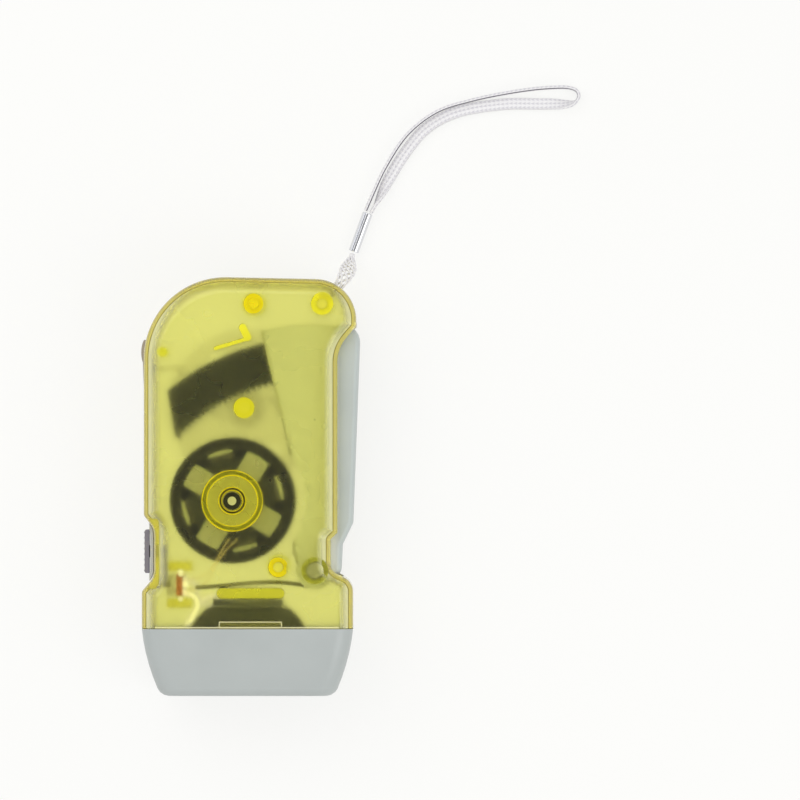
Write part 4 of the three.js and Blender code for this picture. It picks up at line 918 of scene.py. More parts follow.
def prism(name: str, points: list[Vector], low: float, high: float,
          sides: Skin = Skin.FROSTED, ends: Skin = Skin.FROSTED) -> Object:
    """Make an upright body over a flat outline.

    Args:
        name: The body's name.
        points: The outline, in the layout's millimetres.
        low: Its lower height.
        high: Its upper height.
        sides: The skin of its sides.
        ends: The skin of its ends.

    Returns:
        The body.
    """
    rings = [[Vector((p.x, p.y, z)) for p in points] for z in (low, high)]
    return body_of_rings(name, rings, sides, ends)


def circle(radius: float, x: float = 0.0, y: float = 0.0, sides: int = 56) -> list[Vector]:
    """Give a circle's points.

    Args:
        radius: Its radius.
        x: Its middle's first coordinate.
        y: Its middle's second coordinate.
        sides: How many points it has.

    Returns:
        The points, counter-clockwise.
    """
    angles = [2 * math.pi * i / sides for i in range(sides)]
    return [Vector((x + radius * math.cos(a), y + radius * math.sin(a))) for a in angles]


def rectangle(x0: float, x1: float, y0: float, y1: float) -> list[Vector]:
    """Give a rectangle's corners."""
    return [Vector((x0, y0)), Vector((x1, y0)), Vector((x1, y1)), Vector((x0, y1))]


def stadium(x: float, y: float, length: float, width: float, bearing: float) -> list[Vector]:
    """Give the outline of a bar with round ends.

    Args:
        x: Where the bar's middle is.
        y: Where the bar's middle is.
        length: Its whole length.
        width: Its width.
        bearing: The way that it runs, in degrees.

    Returns:
        The points.
    """
    along = Vector((math.cos(math.radians(bearing)), math.sin(math.radians(bearing))))
    reach = length / 2 - width / 2
    result = []
    for end, first in ((1, -90), (-1, 90)):
        centre = Vector((x, y)) + along * (reach * end)
        angles = [math.radians(bearing + first + 180 * i / 16) for i in range(17)]
        result += [centre + Vector((math.cos(a), math.sin(a))) * (width / 2) for a in angles]
    return result


@dataclass(frozen=True)
class Block:
    """An upright rectangular block, in the layout's millimetres."""

    x0: float
    x1: float
    y0: float
    y1: float
    low: float
    high: float

    def make(self, name: str) -> Object:
        """Make the block's body."""
        return prism(name, rectangle(self.x0, self.x1, self.y0, self.y1), self.low, self.high)


class Join(Enum):
    """What other bodies do to a body: add to it, cut into it, or keep what lies in them."""

    ADD = "UNION"
    CUT = "DIFFERENCE"
    KEEP = "INTERSECT"


def combined(base: Object, join: Join, tools: list[Object]) -> Object:
    """Join bodies to a body, or cut them out of it, and remove them.

    Args:
        base: The body that stays.
        join: What the others do to it.
        tools: The other bodies.

    Returns:
        The body that stays.
    """
    for tool in tools:
        modifier = base.modifiers.new(tool.name, "BOOLEAN")
        modifier.operation = join.value
        modifier.solver = "MANIFOLD"
        modifier.object = tool
    baked(base)
    for tool in tools:
        bpy.data.objects.remove(tool)
    return base


def laid(piece: Object, finish: Finish, sharp: float) -> Object:
    """Move a body from the layout's millimetres into the frame and finish its surface.

    Args:
        piece: The body.
        finish: Its finish.
        sharp: Faces that meet at more than this many degrees keep a hard edge.

    Returns:
        The same body.
    """
    mesh = piece.data
    mesh.transform(Matrix.Diagonal((MM, MM, MM, 1.0)) @ Matrix.Translation(LAYOUT_SHIFT))
    mesh.materials.clear()
    mesh.materials.append(material_of(finish))
    smoothed(piece, sharp)
    return piece


def spline(points: list[Vector], steps: int) -> list[Vector]:
    """Give evenly numbered points of a centripetal Catmull-Rom curve, as the solids use.

    Args:
        points: The route's points.
        steps: How many parts the curve is cut into.

    Returns:
        The points along the curve.
    """
    chain = [points[0] * 2 - points[1], *points, points[-1] * 2 - points[-2]]
    spans = len(points) - 1
    result = []
    for step in range(steps + 1):
        at = min(step / steps * spans, spans - 1e-6)
        first = int(at)
        result.append(on_span(chain[first:first + 4], at - first))
    return result


def on_span(four: list[Vector], share: float) -> Vector:
    """Give one point of a centripetal span.

    Args:
        four: The span's two ends with a neighbour on each side.
        share: How far along the span, from 0 to 1.

    Returns:
        The point.
    """
    p0, p1, p2, p3 = four
    times = [0.0]
    for a, b in ((p0, p1), (p1, p2), (p2, p3)):
        times.append(times[-1] + max(math.sqrt((b - a).length), 1e-9))
    t0, t1, t2, t3 = times
    t = t1 + (t2 - t1) * share

    def mix(a: Vector, b: Vector, ta: float, tb: float) -> Vector:
        """Blend two points by time."""
        return a * ((tb - t) / (tb - ta)) + b * ((t - ta) / (tb - ta))

    a1, a2, a3 = mix(p0, p1, t0, t1), mix(p1, p2, t1, t2), mix(p2, p3, t2, t3)
    return mix(mix(a1, a2, t0, t2), mix(a2, a3, t1, t3), t1, t2)


class NodeKit:
    """A Geometry Nodes tree in the making, with named inputs and one geometry output."""

    def __init__(self, name: str, sizes: dict[str, float | int]) -> None:
        """Start a tree.

        Args:
            name: The tree's name.
            sizes: Its inputs' names and values: a whole number makes a count.
        """
        self.tree = bpy.data.node_groups.new(name, "GeometryNodeTree")
        self.sizes = sizes
        face = self.tree.interface
        face.new_socket("Geometry", in_out="INPUT", socket_type="NodeSocketGeometry")
        face.new_socket("Geometry", in_out="OUTPUT", socket_type="NodeSocketGeometry")
        for key, value in sizes.items():
            kind = "NodeSocketInt" if isinstance(value, int) else "NodeSocketFloat"
            face.new_socket(key, in_out="INPUT", socket_type=kind)
        face.new_socket("Finish", in_out="INPUT", socket_type="NodeSocketMaterial")
        self.start = self.tree.nodes.new("NodeGroupInput")

    def size(self, name: str) -> NodeSocket:
        """Give a named input."""
        return self.start.outputs[name]

    def add(self, kind: str, settings: dict | None = None, links: dict | None = None) -> Node:
        """Add a node to the tree."""
        return add_node(self.tree, kind, settings, links)

    def close(self, geometry: Node) -> None:
        """End the tree with real geometry in the given finish.

        Args:
            geometry: The node that makes it.
        """
        real = self.add("GeometryNodeRealizeInstances", links={0: geometry})
        dressed = self.add("GeometryNodeSetMaterial", links={
            "Geometry": real, "Material": self.size("Finish")})
        self.add("NodeGroupOutput", links={0: dressed})

    def run(self, name: str, base: Mesh, finish: Finish) -> Object:
        """Run the tree on a mesh.

        Args:
            name: The piece's name.
            base: The mesh that it starts from.
            finish: The piece's finish.

        Returns:
            The piece, as a plain mesh.
        """
        piece = link(name, base)
        modifier = piece.modifiers.new("made by nodes", "NODES")
        modifier.node_group = self.tree
        for item in self.tree.interface.items_tree:
            if item.in_out == "INPUT" and item.name in self.sizes:
                modifier[item.identifier] = self.sizes[item.name]
            if item.in_out == "INPUT" and item.name == "Finish":
                modifier[item.identifier] = material_of(finish)
        return baked(piece)


def dots(name: str, points: list[Vector], joined: bool = False) -> Mesh:
    """Make a mesh of bare points, for nodes to work on.

    Args:
        name: The mesh's name.
        points: The points, in metres.
        joined: Whether edges join each point to the next.

    Returns:
        The mesh.
    """
    edges = [(i, i + 1) for i in range(len(points) - 1)] if joined else []
    mesh = bpy.data.meshes.new(name)
    mesh.from_pydata([tuple(p) for p in points], edges, [])
    return mesh


@dataclass(frozen=True)
class Wire:
    """A round wire, or a bundle of strands, that follows a route."""

    radius_mm: float
    sides: int = 16
    strands: int = 1
    pitch_mm: float = 4.0
    wind_mm: float = 0.0
    fan_mm: float = 0.0
    flatness: float = 1.0

    def make(self, name: str, route: list[Vector], finish: Finish) -> Object:
        """Sweep the wire along its route.

        Args:
            name: The piece's name.
            route: The points that it follows, in metres.
            finish: Its finish.

        Returns:
            The piece.
        """
        kit = NodeKit(name + "_nodes", {
            "Radius": self.radius_mm * MM, "Sides": self.sides, "Strands": self.strands,
            "Pitch": self.pitch_mm * MM, "Winding": self.wind_mm * MM, "Fan": self.fan_mm * MM,
            "Flatness": self.flatness})
        curve = kit.add("GeometryNodeMeshToCurve", links={0: kit.size("Geometry")})
        copies = kit.add("GeometryNodeDuplicateElements", {"domain": "SPLINE"},
                         {"Geometry": curve, "Amount": kit.size("Strands")})
        moved = kit.add("GeometryNodeSetPosition", links={
            "Geometry": copies, "Offset": self.offset(kit, copies.outputs["Duplicate Index"])})
        ring = kit.add("GeometryNodeCurvePrimitiveCircle", links={
            "Resolution": kit.size("Sides"), "Radius": kit.size("Radius")})
        skin = kit.add("GeometryNodeCurveToMesh", {"Fill Caps": True},
                       {"Curve": moved, "Profile Curve": ring})
        kit.close(skin)
        piece = kit.run(name, dots(name, route, True), finish)
        smoothed(piece, sharp=60.0)
        return piece

    def offset(self, kit: NodeKit, number: NodeSocket) -> NodeSocket:
        """Work out how far each strand stands off the route.

        Args:
            kit: The tree in the making.
            number: The strand's number.

        Returns:
            The offset.
        """
        along = kit.add("GeometryNodeSplineParameter")
        wound = kit.add("ShaderNodeMath", {"operation": "DIVIDE"},
                        {0: along.outputs["Length"], 1: kit.size("Pitch")})
        own = kit.add("ShaderNodeMath", {"operation": "DIVIDE"},
                      {0: number, 1: kit.size("Strands")})
        turns = kit.add("ShaderNodeMath", {"operation": "ADD"}, {0: wound, 1: own})
        angle = kit.add("ShaderNodeMath", {"operation": "MULTIPLY", 1: 2 * math.pi}, {0: turns})
        half = kit.add("ShaderNodeMath", {"operation": "MULTIPLY", 1: math.pi},
                       {0: along.outputs["Factor"]})
        middle = kit.add("ShaderNodeMath", {"operation": "SINE"}, {0: half})
        fanned = kit.add("ShaderNodeMath", {"operation": "MULTIPLY"},
                         {0: kit.size("Fan"), 1: middle})
        reach = kit.add("ShaderNodeMath", {"operation": "ADD"}, {0: kit.size("Winding"), 1: fanned})
        waves = (kit.add("ShaderNodeMath", {"operation": kind}, {0: angle})
                 for kind in ("COSINE", "SINE"))
        sideways, rise = (kit.add("ShaderNodeMath", {"operation": "MULTIPLY"},
                                  {0: reach, 1: wave}) for wave in waves)
        upwards = kit.add("ShaderNodeMath", {"operation": "MULTIPLY"},
                          {0: rise, 1: kit.size("Flatness")})
        tangent = kit.add("GeometryNodeInputTangent")
        across = kit.add("ShaderNodeVectorMath",
                         {"operation": "CROSS_PRODUCT", 1: (0.0, 0.0, 1.0)}, {0: tangent})
        side = kit.add("ShaderNodeVectorMath", {"operation": "NORMALIZE"}, {0: across})
        flat = kit.add("ShaderNodeVectorMath", {"operation": "SCALE"}, {0: side, "Scale": sideways})
        lift = kit.add("ShaderNodeCombineXYZ", links={"Z": upwards})
        return kit.add("ShaderNodeVectorMath", {"operation": "ADD"}, {0: flat, 1: lift}).outputs[0]


@dataclass
class Studio:
    """A pale floor, soft light and the photograph's camera, straight above the light."""

    camera_x_mm: float = 37.55
    camera_y_mm: float = 21.72
    camera_height_mm: float = 2400.0
    field_mm: float = 201.4
    clip_near: float = 0.01
    clip_far: float = 30.0
    floor_size: float = 6.0
    floor_drop_mm: float = 0.02
    floor_glow: float = 0.8
    world_strength: float = 0.62
    zenith: float = 0.35
    zenith_edge: Pair = (0.8, 0.97)

    def camera(self) -> None:
        """Set the camera at the photograph's viewing angle."""
        data = bpy.data.cameras.new("camera")
        distance = self.camera_height_mm - PARTING_Z
        data.angle = 2 * math.atan(self.field_mm / 2 / distance)
        data.clip_start, data.clip_end = self.clip_near, self.clip_far
        camera = bpy.data.objects.new("camera", data)
        camera.location = Vector((self.camera_x_mm, self.camera_y_mm, self.camera_height_mm)) * MM
        bpy.context.scene.collection.objects.link(camera)
        bpy.context.scene.camera = camera

    def seen(self, tree: NodeTree) -> NodeSocket:
        """Give 1 for rays that the eye follows: straight, mirrored or through clear plastic.

        Args:
            tree: The tree that gets the nodes.

        Returns:
            The value.
        """
        path = add_node(tree, "ShaderNodeLightPath")
        result = path.outputs["Is Camera Ray"]
        for kind in ("Is Glossy Ray", "Is Transmission Ray"):
            result = add_node(tree, "ShaderNodeMath", {"operation": "MAXIMUM"},
                              {0: result, 1: path.outputs[kind]}).outputs[0]
        return result

    def floor(self) -> None:
        """Lay a floor that keeps the object's shadow and looks white."""
        work = bmesh.new()
        bmesh.ops.create_grid(work, x_segments=1, y_segments=1, size=self.floor_size / 2)
        mesh = bpy.data.meshes.new("floor")
        work.to_mesh(mesh)
        work.free()
        floor = link("floor", mesh)
        floor.location.z = -self.floor_drop_mm * MM
        material, tree, shader = new_material("pale_floor")
        wired(tree, shader, {"Base Color": srgb("#f6f6f4"), "Roughness": 0.9,
                             "Specular IOR Level": 0.0})
        share = add_node(tree, "ShaderNodeMath", {"operation": "MULTIPLY", 1: self.floor_glow},
                         {0: self.seen(tree)})
        glow = add_node(tree, "ShaderNodeEmission", {"Color": srgb("#fffffd"), "Strength": 1.0})
        both = add_node(tree, "ShaderNodeMixShader", links={0: share, 1: shader, 2: glow})
        wired(tree, tree.nodes["Material Output"], links={"Surface": both})
        mesh.materials.append(material)

    def world(self) -> None:
        """Light the scene evenly, with a white backdrop and a darker spot straight above.

        The spot keeps flat polished faces from mirroring a white sky at the camera.
        """
        world = bpy.data.worlds.new("studio")
        bpy.context.scene.world = world
        world.use_nodes = True
        tree = world.node_tree
        tree.nodes.clear()
        strength = add_node(tree, "ShaderNodeMapRange",
                            {"To Min": self.world_strength, "To Max": 1.0},
                            {"Value": self.seen(tree)})
        direction = add_node(tree, "ShaderNodeTexCoord").outputs["Generated"]
        height = add_node(tree, "ShaderNodeSeparateXYZ", links={0: direction}).outputs["Z"]
        edge, full = self.zenith_edge
        above = add_node(tree, "ShaderNodeMapRange",
                         {"From Min": edge, "From Max": full, "To Max": 1.0 - self.zenith},
                         {"Value": height})
        glossy = add_node(tree, "ShaderNodeLightPath").outputs["Is Glossy Ray"]
        drop = add_node(tree, "ShaderNodeMath", {"operation": "MULTIPLY"}, {0: above, 1: glossy})
        level = add_node(tree, "ShaderNodeMath", {"operation": "SUBTRACT"}, {0: strength, 1: drop})
        background = add_node(tree, "ShaderNodeBackground", {"Color": srgb("#ffffff")},
                              {"Strength": level})
        add_node(tree, "ShaderNodeOutputWorld", links={"Surface": background})

    def lamp(self, name: str, where_mm: tuple[float, float, float], size_mm: float,
             power: float) -> None:
        """Hang one square lamp that faces the object.

        Args:
            name: The lamp's name.
            where_mm: Its place, in the frame.
            size_mm: Its side.
            power: Its power in watts.
        """
        data = bpy.data.lights.new(name, "AREA")
        data.size = size_mm * MM
        data.energy = power
        lamp = bpy.data.objects.new(name, data)
        lamp.location = Vector(where_mm) * MM
        target = Vector((0.0, 0.0, PARTING_Z * MM))
        lamp.rotation_euler = (target - lamp.location).to_track_quat("-Z", "Y").to_euler()
        bpy.context.scene.collection.objects.link(lamp)

    def build(self) -> None:
        """Set up camera, floor, world and lamps."""
        self.camera()
        self.floor()
        self.world()
        self.lamp("key", (-350.0, 300.0, 600.0), size_mm=700.0, power=2.0)
        self.lamp("fill", (400.0, -250.0, 500.0), size_mm=400.0, power=1.0)
        LOG.info("studio: camera, floor and lamps")


@dataclass
class HandStrap:
    """The string, its metal crimp and the knitted band."""

    strand: Wire = Wire(0.27, 12, 6, 17.0, 0.35, 1.55, 0.45)
    band_width_mm: float = 3.0
    band_thickness_mm: float = 0.9
    band_height_mm: float = 1.7
    flat_height_mm: float = 0.9
    crimp_start: Pair = (26.5, 94.7)
    crimp_bearing: float = 69.8
    crimp_length_mm: float = 10.4
    crimp_radius_mm: float = 1.3
    crimp_slot_mm: float = 0.45
    crimp_slot_bearing: float = 112.0
    crimp_curl: Pair = (0.6, 1.4)
    crimp_ends: Pairs = ((0.0, 0.93), (0.12, 0.99), (0.3, 1.0))
    band_edge_mm: float = 0.3
    band_bevel_mm: float = 0.1
    turns_over: Pairs = ((0.56, 0.64), (0.88, 0.97))
    turned_share: float = 0.88
    steps: int = 260
    string_steps: int = 60

    def string_route(self) -> list[Vector]:
        """Give the string's route, from inside the case's corner down to the crimp.

        Returns:
            The points, in metres.
        """
        flat = [(20.9, 83.75), (23, 86.2), (24.3, 88.2), (25.2, 90.2), (25.6, 91.8), (25.9, 93),
                (26.2, 94.1)]
        shares = [1, 1, 0.91, 0.61, 0.26, 0.07, 0.01]
        drop = PARTING_Z - self.band_height_mm
        return [place(x, y, self.band_height_mm + drop * s) for (x, y), s in zip(flat, shares)]

    def band_route(self) -> list[Vector]:
        """Give the band's route, out to the loop's end and back to the crimp.

        Returns:
            The points, in metres.
        """
        flat = [(29.5, 105.1), (31.2, 109), (34.6, 116.2), (40.2, 124.5), (47.5, 130.1),
                (56.3, 133), (68.5, 135.4), (75.8, 136.2), (81, 136.2), (83, 135.4), (83.5, 134),
                (82.4, 132.4), (75, 132.1), (64.4, 132), (52, 129.8), (44.9, 125.9),
                (40.2, 120.6), (35.6, 113.3), (32.5, 107.3), (30.9, 104.5)]
        return [place(x, y, self.band_height_mm) for x, y in flat]

    def lean(self, share: float) -> float:
        """Give how far the band leans over at a share of its length: 0 stands on its edge.

        Args:
            share: The share of the band's length.

        Returns:
            The share of a quarter turn.
        """
        start, end = (
            0.5 - 0.5 * math.cos(math.pi * min(max((share - low) / (high - low), 0.0), 1.0))
            for low, high in self.turns_over)
        return (start - end) * self.turned_share

    def band(self, path: list[Vector]) -> Object:
        """Sweep the band's flat section along its path, leaning over on the way back.

        Args:
            path: The points that it follows.

        Returns:
            The band, with a UV map: U in metres along it, V round it.
        """
        half, thin = self.band_width_mm / 2, self.band_thickness_mm / 2
        soft, bevel = self.band_edge_mm, self.band_bevel_mm
        quarter = [(thin, 0.0), (thin, half - soft), (thin - bevel, half - bevel),
                   (thin - soft, half)]
        section = (quarter + [(-u, v) for u, v in reversed(quarter)]
                   + [(-u, -v) for u, v in quarter[1:]] + [(u, -v) for u, v in reversed(quarter[1:])])
        work = bmesh.new()
        uv = work.loops.layers.uv.new("Path")
        rings, gone = [], [0.0]
        for i, point in enumerate(path):
            ahead = (path[min(i + 1, len(path) - 1)] - path[max(i - 1, 0)]).normalized()
            side = ahead.cross(Vector((0, 0, 1))).normalized()
            up = side.cross(ahead)
            angle = self.lean(i / (len(path) - 1)) * math.pi / 2
            turn = Matrix.Rotation(angle, 2)
            spots = [turn @ Vector(spot) for spot in section]
            rings.append([work.verts.new(point + side * (s.x * MM) + up * (s.y * MM))
                          for s in spots])
            if i:
                gone.append(gone[-1] + (point - path[i - 1]).length)
        round_it = [0.0]
        for a, b in zip(section, section[1:] + section[:1]):
            round_it.append(round_it[-1] + math.dist(a, b))
        self.skin(work, uv, rings, gone, [length / round_it[-1] for length in round_it])
        mesh = bpy.data.meshes.new("strap_band")
        work.to_mesh(mesh)
        work.free()
        mesh.materials.append(material_of(Finish.TAPE))
        piece = link("strap_band", mesh)
        smoothed(piece, sharp=75.0)
        return piece

    def skin(self, work: bmesh.types.BMesh, uv: bmesh.types.BMLayerItem,
             rings: list[list[bmesh.types.BMVert]], gone: list[float],
             shares: list[float]) -> None:
        """Join the band's rings with faces and give them their place on the UV map.

        Args:
            work: The mesh in the making.
            uv: Its UV layer.
            rings: The rings of vertices.
            gone: The length of path up to each ring, in metres.
            shares: How far round the section each of its points is, from 0 to 1.
        """
        count = len(rings[0])
        for i in range(len(rings) - 1):
            for k in range(count):
                n = (k + 1) % count
                face = work.faces.new((rings[i][k], rings[i][n], rings[i + 1][n], rings[i + 1][k]))
                marks = ((i, k), (i, k + 1), (i + 1, k + 1), (i + 1, k))
                for loop, (along, round_) in zip(face.loops, marks):
                    loop[uv].uv = (gone[along], shares[round_])
        work.faces.new(list(reversed(rings[0])))
        work.faces.new(rings[-1])
        bmesh.ops.recalc_face_normals(work, faces=work.faces)

    def crimp(self) -> Object:
        """Build the metal tube, rolled from sheet, with the slot where its edges meet.

        Returns:
            The tube.
        """
        bearing = math.radians(self.crimp_bearing)
        along = Vector((math.cos(bearing), math.sin(bearing), 0))
        start = Vector((*self.crimp_start, self.band_height_mm))
        side, up = along.cross(Vector((0, 0, 1))).normalized(), Vector((0, 0, 1))
        radius, slot = self.crimp_radius_mm, math.radians(self.crimp_slot_bearing)
        inward, spread = self.crimp_curl
        half_slot = self.crimp_slot_mm / 2 / radius
        angles = [slot + half_slot + (2 * math.pi - 2 * half_slot) * i / 40 for i in range(41)]
        section = [Vector((math.cos(a), math.sin(a))) * radius for a in angles]
        curled = [slot - half_slot * spread, slot + half_slot * spread]
        section += [Vector((math.cos(a), math.sin(a))) * (radius * inward) for a in curled]
        profile = [*self.crimp_ends, *((self.crimp_length_mm - reach, share)
                                       for reach, share in reversed(self.crimp_ends))]
        rings = [[start + along * reach + side * (s.x * share) + up * (s.y * share)
                  for s in section] for reach, share in profile]
        piece = laid(body_of_rings("strap_crimp_tube", rings), Finish.CHROME, sharp=30.0)
        return fitted(piece, "case", "chrome", "strap_crimp")

    def build(self) -> None:
        crimp = self.crimp()
        string_path = spline(self.string_route(), self.string_steps)
        string = self.strand.make("strap_cord", string_path, Finish.STRING)
        fitted(string, "case", "strap_white", "strap_string")
        path = spline(self.band_route(), self.steps)
        drop = (self.band_height_mm - self.flat_height_mm) * MM
        for i, point in enumerate(path):
            point.z -= drop * self.lean(i / self.steps)
        band = fitted(self.band(path), "case", "strap_white", "wrist_strap")
        for name, route in (("string", string_path), ("band", path)):
            length = sum((b - a).length for a, b in zip(route, route[1:]))
            LOG.info("%s: %.1f mm long", name, length / MM)


class Half(Enum):
    """The halves of the case: the one that faces the camera and the one behind."""

    FRONT = "front"
    REAR = "rear"


@dataclass
class Case:
    """The two halves of the translucent case and the screws that hold them.

    A ring is given by its inner and outer radius, and a span by its lower and upper end.
    """

    wall: float = 1.2
    edge_radius: float = 4.5
    edge_steps: int = 16
    seam: float = 0.1
    weld: float = 0.6
    past: float = 1.0
    bore_sides: int = 24
    hole_sides: int = 40
    heel_sides: int = 72
    lip: float = 0.3
    lip_rise: float = 0.05
    screw_places: Pairs = ((1.5, 81.3), (7.7, 15.2), (18.7, 81.3))
    screw_post: float = 2.5
    strap_post: float = 2.8
    screw_bore: float = 1.3
    screw_bore_high: float = 20.8
    pillar: float = 3.0
    head_bore: float = 2.1
    head_bore_high: float = 2.6
    locator: Pair = (-21.3, 69.2)
    locator_radius: float = 1.26
    locator_low: float = 25.8
    axle_post: float = 2.64
    axle_bore: float = 1.3
    axle_bore_span: Pair = (10.1, 14.2)
    axle_gap: float = 0.3
    pin_ring: Pair = (2.25, 3.4)
    pin_span: Pair = (1.7, 23.0)
    hub_ring: Pair = (6.25, 7.75)
    bush_ring: Pair = (2.5, 3.56)
    hub_low: float = 19.02
    hub_disc: float = 6.6
    hub_disc_low: float = 25.6
    rear_boss_high: float = 2.4
    rear_bore_low: float = 0.85
    stop_bend: Pair = (0.2, 72.6)
    stop_legs: tuple[tuple[float, float, float], ...] = ((9.0, 0.95, 197.0), (4.0, 1.9, 117.0))
    stop_round: float = 0.63
    stop_low: float = 15.3
    spring_rib: tuple[float, ...] = (0.8, 8.7, 17.0, 2.6, 0.0)
    spring_rib_low: float = 19.5
    switch_rib_span: Pair = (-20.45, -14.05)
    switch_rib_places: Pair = (15.3, 6.0)
    switch_rib_half: float = 1.2
    pocket: tuple[float, float, float, float] = (-27.0, -22.1, 9.9, 27.4)
    pocket_inset: float = 0.5
    groove_depth: float = 0.3
    groove_width: float = 0.26
    tongue: tuple[float, float, float, float] = (-7.1, 8.7, -1.0, 1.7)
    step_depth: float = 0.12
    step_width: float = 0.36
    step_reach: float = 28.0
    lever_slot: Block = Block(16.9, 39.15, 12.85, 76.6, 5.5, 23.5)
    heel_radius: float = 7.183
    switch_slot: Block = Block(-26.0, -20.75, 16.3, 21.9, 12.7, 16.3)
    lock_recess: Block = Block(-27.2, -25.1, 60.4, 74.1, 10.7, 18.3)
    lock_slot: Block = Block(-26.2, -23.3, 62.7, 68.0, 12.2, 16.8)
    strap_hole: float = 1.6
    strap_hole_bearing: float = 48.7
    strap_hole_span: Pair = (3.3, 12.3)
    screw_head_radius: float = 1.8
    screw_head_span: Pair = (1.1, 2.3)
    screw_head_curve: Pairs = ((0.0, 0.82), (0.12, 0.95), (0.35, 1.0))
    screw_shank: float = 1.0
    screw_overlap: float = 0.5
    screw_length: float = 19.4
    screw_cross: Pair = (1.2, 0.3)
    screw_cross_depth: float = 0.6

    def outline(self, seam_y: float) -> Outline:
        """Give the case's outline, counter-clockwise from the right end of the seam.

        Args:
            seam_y: Where its open end lies.

        Returns:
            The outline.
        """
        return Outline((
            Corner(26.5, seam_y), Corner(26.5, 11.6, 4.0), Corner(20.9, 14.4, 2.5),
            Corner(20.9, 22.2, 0.6), Corner(22.6, 23.9, 0.6), Corner(22.6, 70.1, 9.45),
            Corner(27.25, 75.6, 0.6), Corner(27.7, 87.3, 10.5), Corner(-26.0, 88.4, 20.5),
            Corner(-26.0, 28.2, 1.5), Corner(-23.45, 24.9, 5.0), Corner(-23.45, 12.8, 5.0),
            Corner(-26.5, 9.2, 1.5), Corner(-26.5, seam_y, 0.0, True)))

    def pillow(self, half: Half, outline: Outline, inset: float, radius: float, low: float,
               high: float, skin: Skin) -> Object:
        """Make a body over an outline whose far edge is rounded, mirrored for the rear half.

        Args:
            half: The half that it belongs to.
            outline: Its outline.
            inset: How far it lies inside the outline.
            radius: The rounding's radius.
            low: The front half's lower height.
            high: The front half's upper height.
            skin: The skin of its faces.

        Returns:
            The body.
        """
        flat = [(outline.points(inset), low)]
        for step in range(self.edge_steps + 1):
            angle = math.pi / 2 * step / self.edge_steps
            flat.append((outline.points(inset + radius * (1 - math.cos(angle))),
                         high - radius + radius * math.sin(angle)))
        rings = [[Vector((p.x, p.y, z if half is Half.FRONT else DEPTH - z)) for p in points]
                 for points, z in flat]
        return body_of_rings("pillow", rings, skin, skin)

    def empty(self, half: Half) -> Object:
        """Make a half with nothing in it, open at the parting plane and at the head.

        Args:
            half: The half.

        Returns:
            The body.
        """
        outer = self.pillow(half, self.outline(0.0), 0.0, self.edge_radius, PARTING_Z + self.seam,
                            DEPTH, Skin.POLISHED)
        hollow = self.pillow(half, self.outline(-self.past), self.wall,
                             self.edge_radius - self.wall, PARTING_Z - self.past,
                             DEPTH - self.wall, Skin.FROSTED)
        return combined(outer, Join.CUT, [hollow])

    def post(self, radius: float, where: Pair, low: float, high: float,
             ends: Skin = Skin.FROSTED, sides: int = 56) -> Object:
        """Make a round post, or the bore that is cut for one.

        Args:
            radius: Its radius.
            where: Its place in the layout.
            low: Its lower height.
            high: Its upper height.
            ends: The skin of its ends.
            sides: How many flat sides stand for its round one.

        Returns:
            The body.
        """
        return prism("post", circle(radius, *where, sides), low, high, Skin.FROSTED, ends)

    def ring(self, radii: Pair, where: Pair, low: float, high: float, ends: Skin) -> Object:
        """Make a tube that stands on the wall."""
        inner, outer = radii
        return combined(self.post(outer, where, low, high, ends), Join.CUT,
                        [self.post(inner, where, low - self.past, high + self.past)])

    def lipped_ring(self, radii: Pair, where: Pair, low: float, high: float) -> list[Object]:
        """Make a tube with a fine raised lip at each edge; the lips' ends glow with painted light.

        Args:
            radii: Its inner and outer radius.
            where: Its place in the layout.
            low: Its lower height.
            high: Its upper height.

        Returns:
            The tube and its lips.
        """
        inner, outer = radii
        lips = ((outer - self.lip, outer), (inner, inner + self.lip))
        return [self.ring(radii, where, low, high, Skin.FROSTED),
                *(self.ring(lip, where, low - self.lip_rise, high, Skin.LIT_END) for lip in lips)]

    def openings(self) -> list[Object]:
        """Make what both halves lose: room for lever, switch, lock and hand strap.

        Returns:
            The bodies that are cut out.
        """
        bearing, slot = math.radians(self.strap_hole_bearing), self.lever_slot
        along = Vector((math.cos(bearing), math.sin(bearing), 0))
        side, up = Vector((-along.y, along.x, 0)), Vector((0, 0, 1))
        start = Vector((*self.screw_places[2], PARTING_Z))
        hole = [[start + along * reach + side * p.x + up * p.y
                 for p in circle(self.strap_hole, sides=self.hole_sides)]
                for reach in self.strap_hole_span]
        return [
            slot.make("lever slot"),
            prism("heel sweep", circle(self.heel_radius, *PIVOT, self.heel_sides), slot.low,
                  slot.high),
            self.switch_slot.make("switch slot"),
            self.lock_recess.make("lock recess"),
            self.lock_slot.make("lock slot"),
            body_of_rings("strap hole", hole, Skin.FROSTED, Skin.FROSTED),
        ]

    def tongue_groove(self) -> Object:
        """Make the fine groove in the front face that frames the bezel's tongue.

        Returns:
            The body that is cut out.
        """
        low, high, wide = DEPTH - self.groove_depth, DEPTH + self.past, self.groove_width
        x0, x1, y0, y1 = self.tongue
        outer = prism("groove", rectangle(*self.tongue), low, high, Skin.POLISHED, Skin.SOFT_END)
        inner = prism("inside", rectangle(x0 + wide, x1 - wide, y0 - self.past, y1 - wide),
                      low - self.past, high + self.past)
        return combined(outer, Join.CUT, [inner])

    def seam_step(self) -> Object:
        """Make the shallow step along the case's open end; its floor glows with painted light."""
        field = rectangle(-self.step_reach, self.step_reach, -self.past, self.step_width)
        return prism("step", field, DEPTH - self.step_depth, DEPTH + self.past, Skin.POLISHED,
                     Skin.SOFT_END)

    def switch_ribs(self, low: float, high: float) -> list[Object]:
        """Make the two ribs that hold the switch, which stand in the rear half."""
        half = self.switch_rib_half
        return [prism("switch rib", rectangle(*self.switch_rib_span, y - half, y + half), low,
                      high, ends=Skin.WARM_END) for y in self.switch_rib_places]

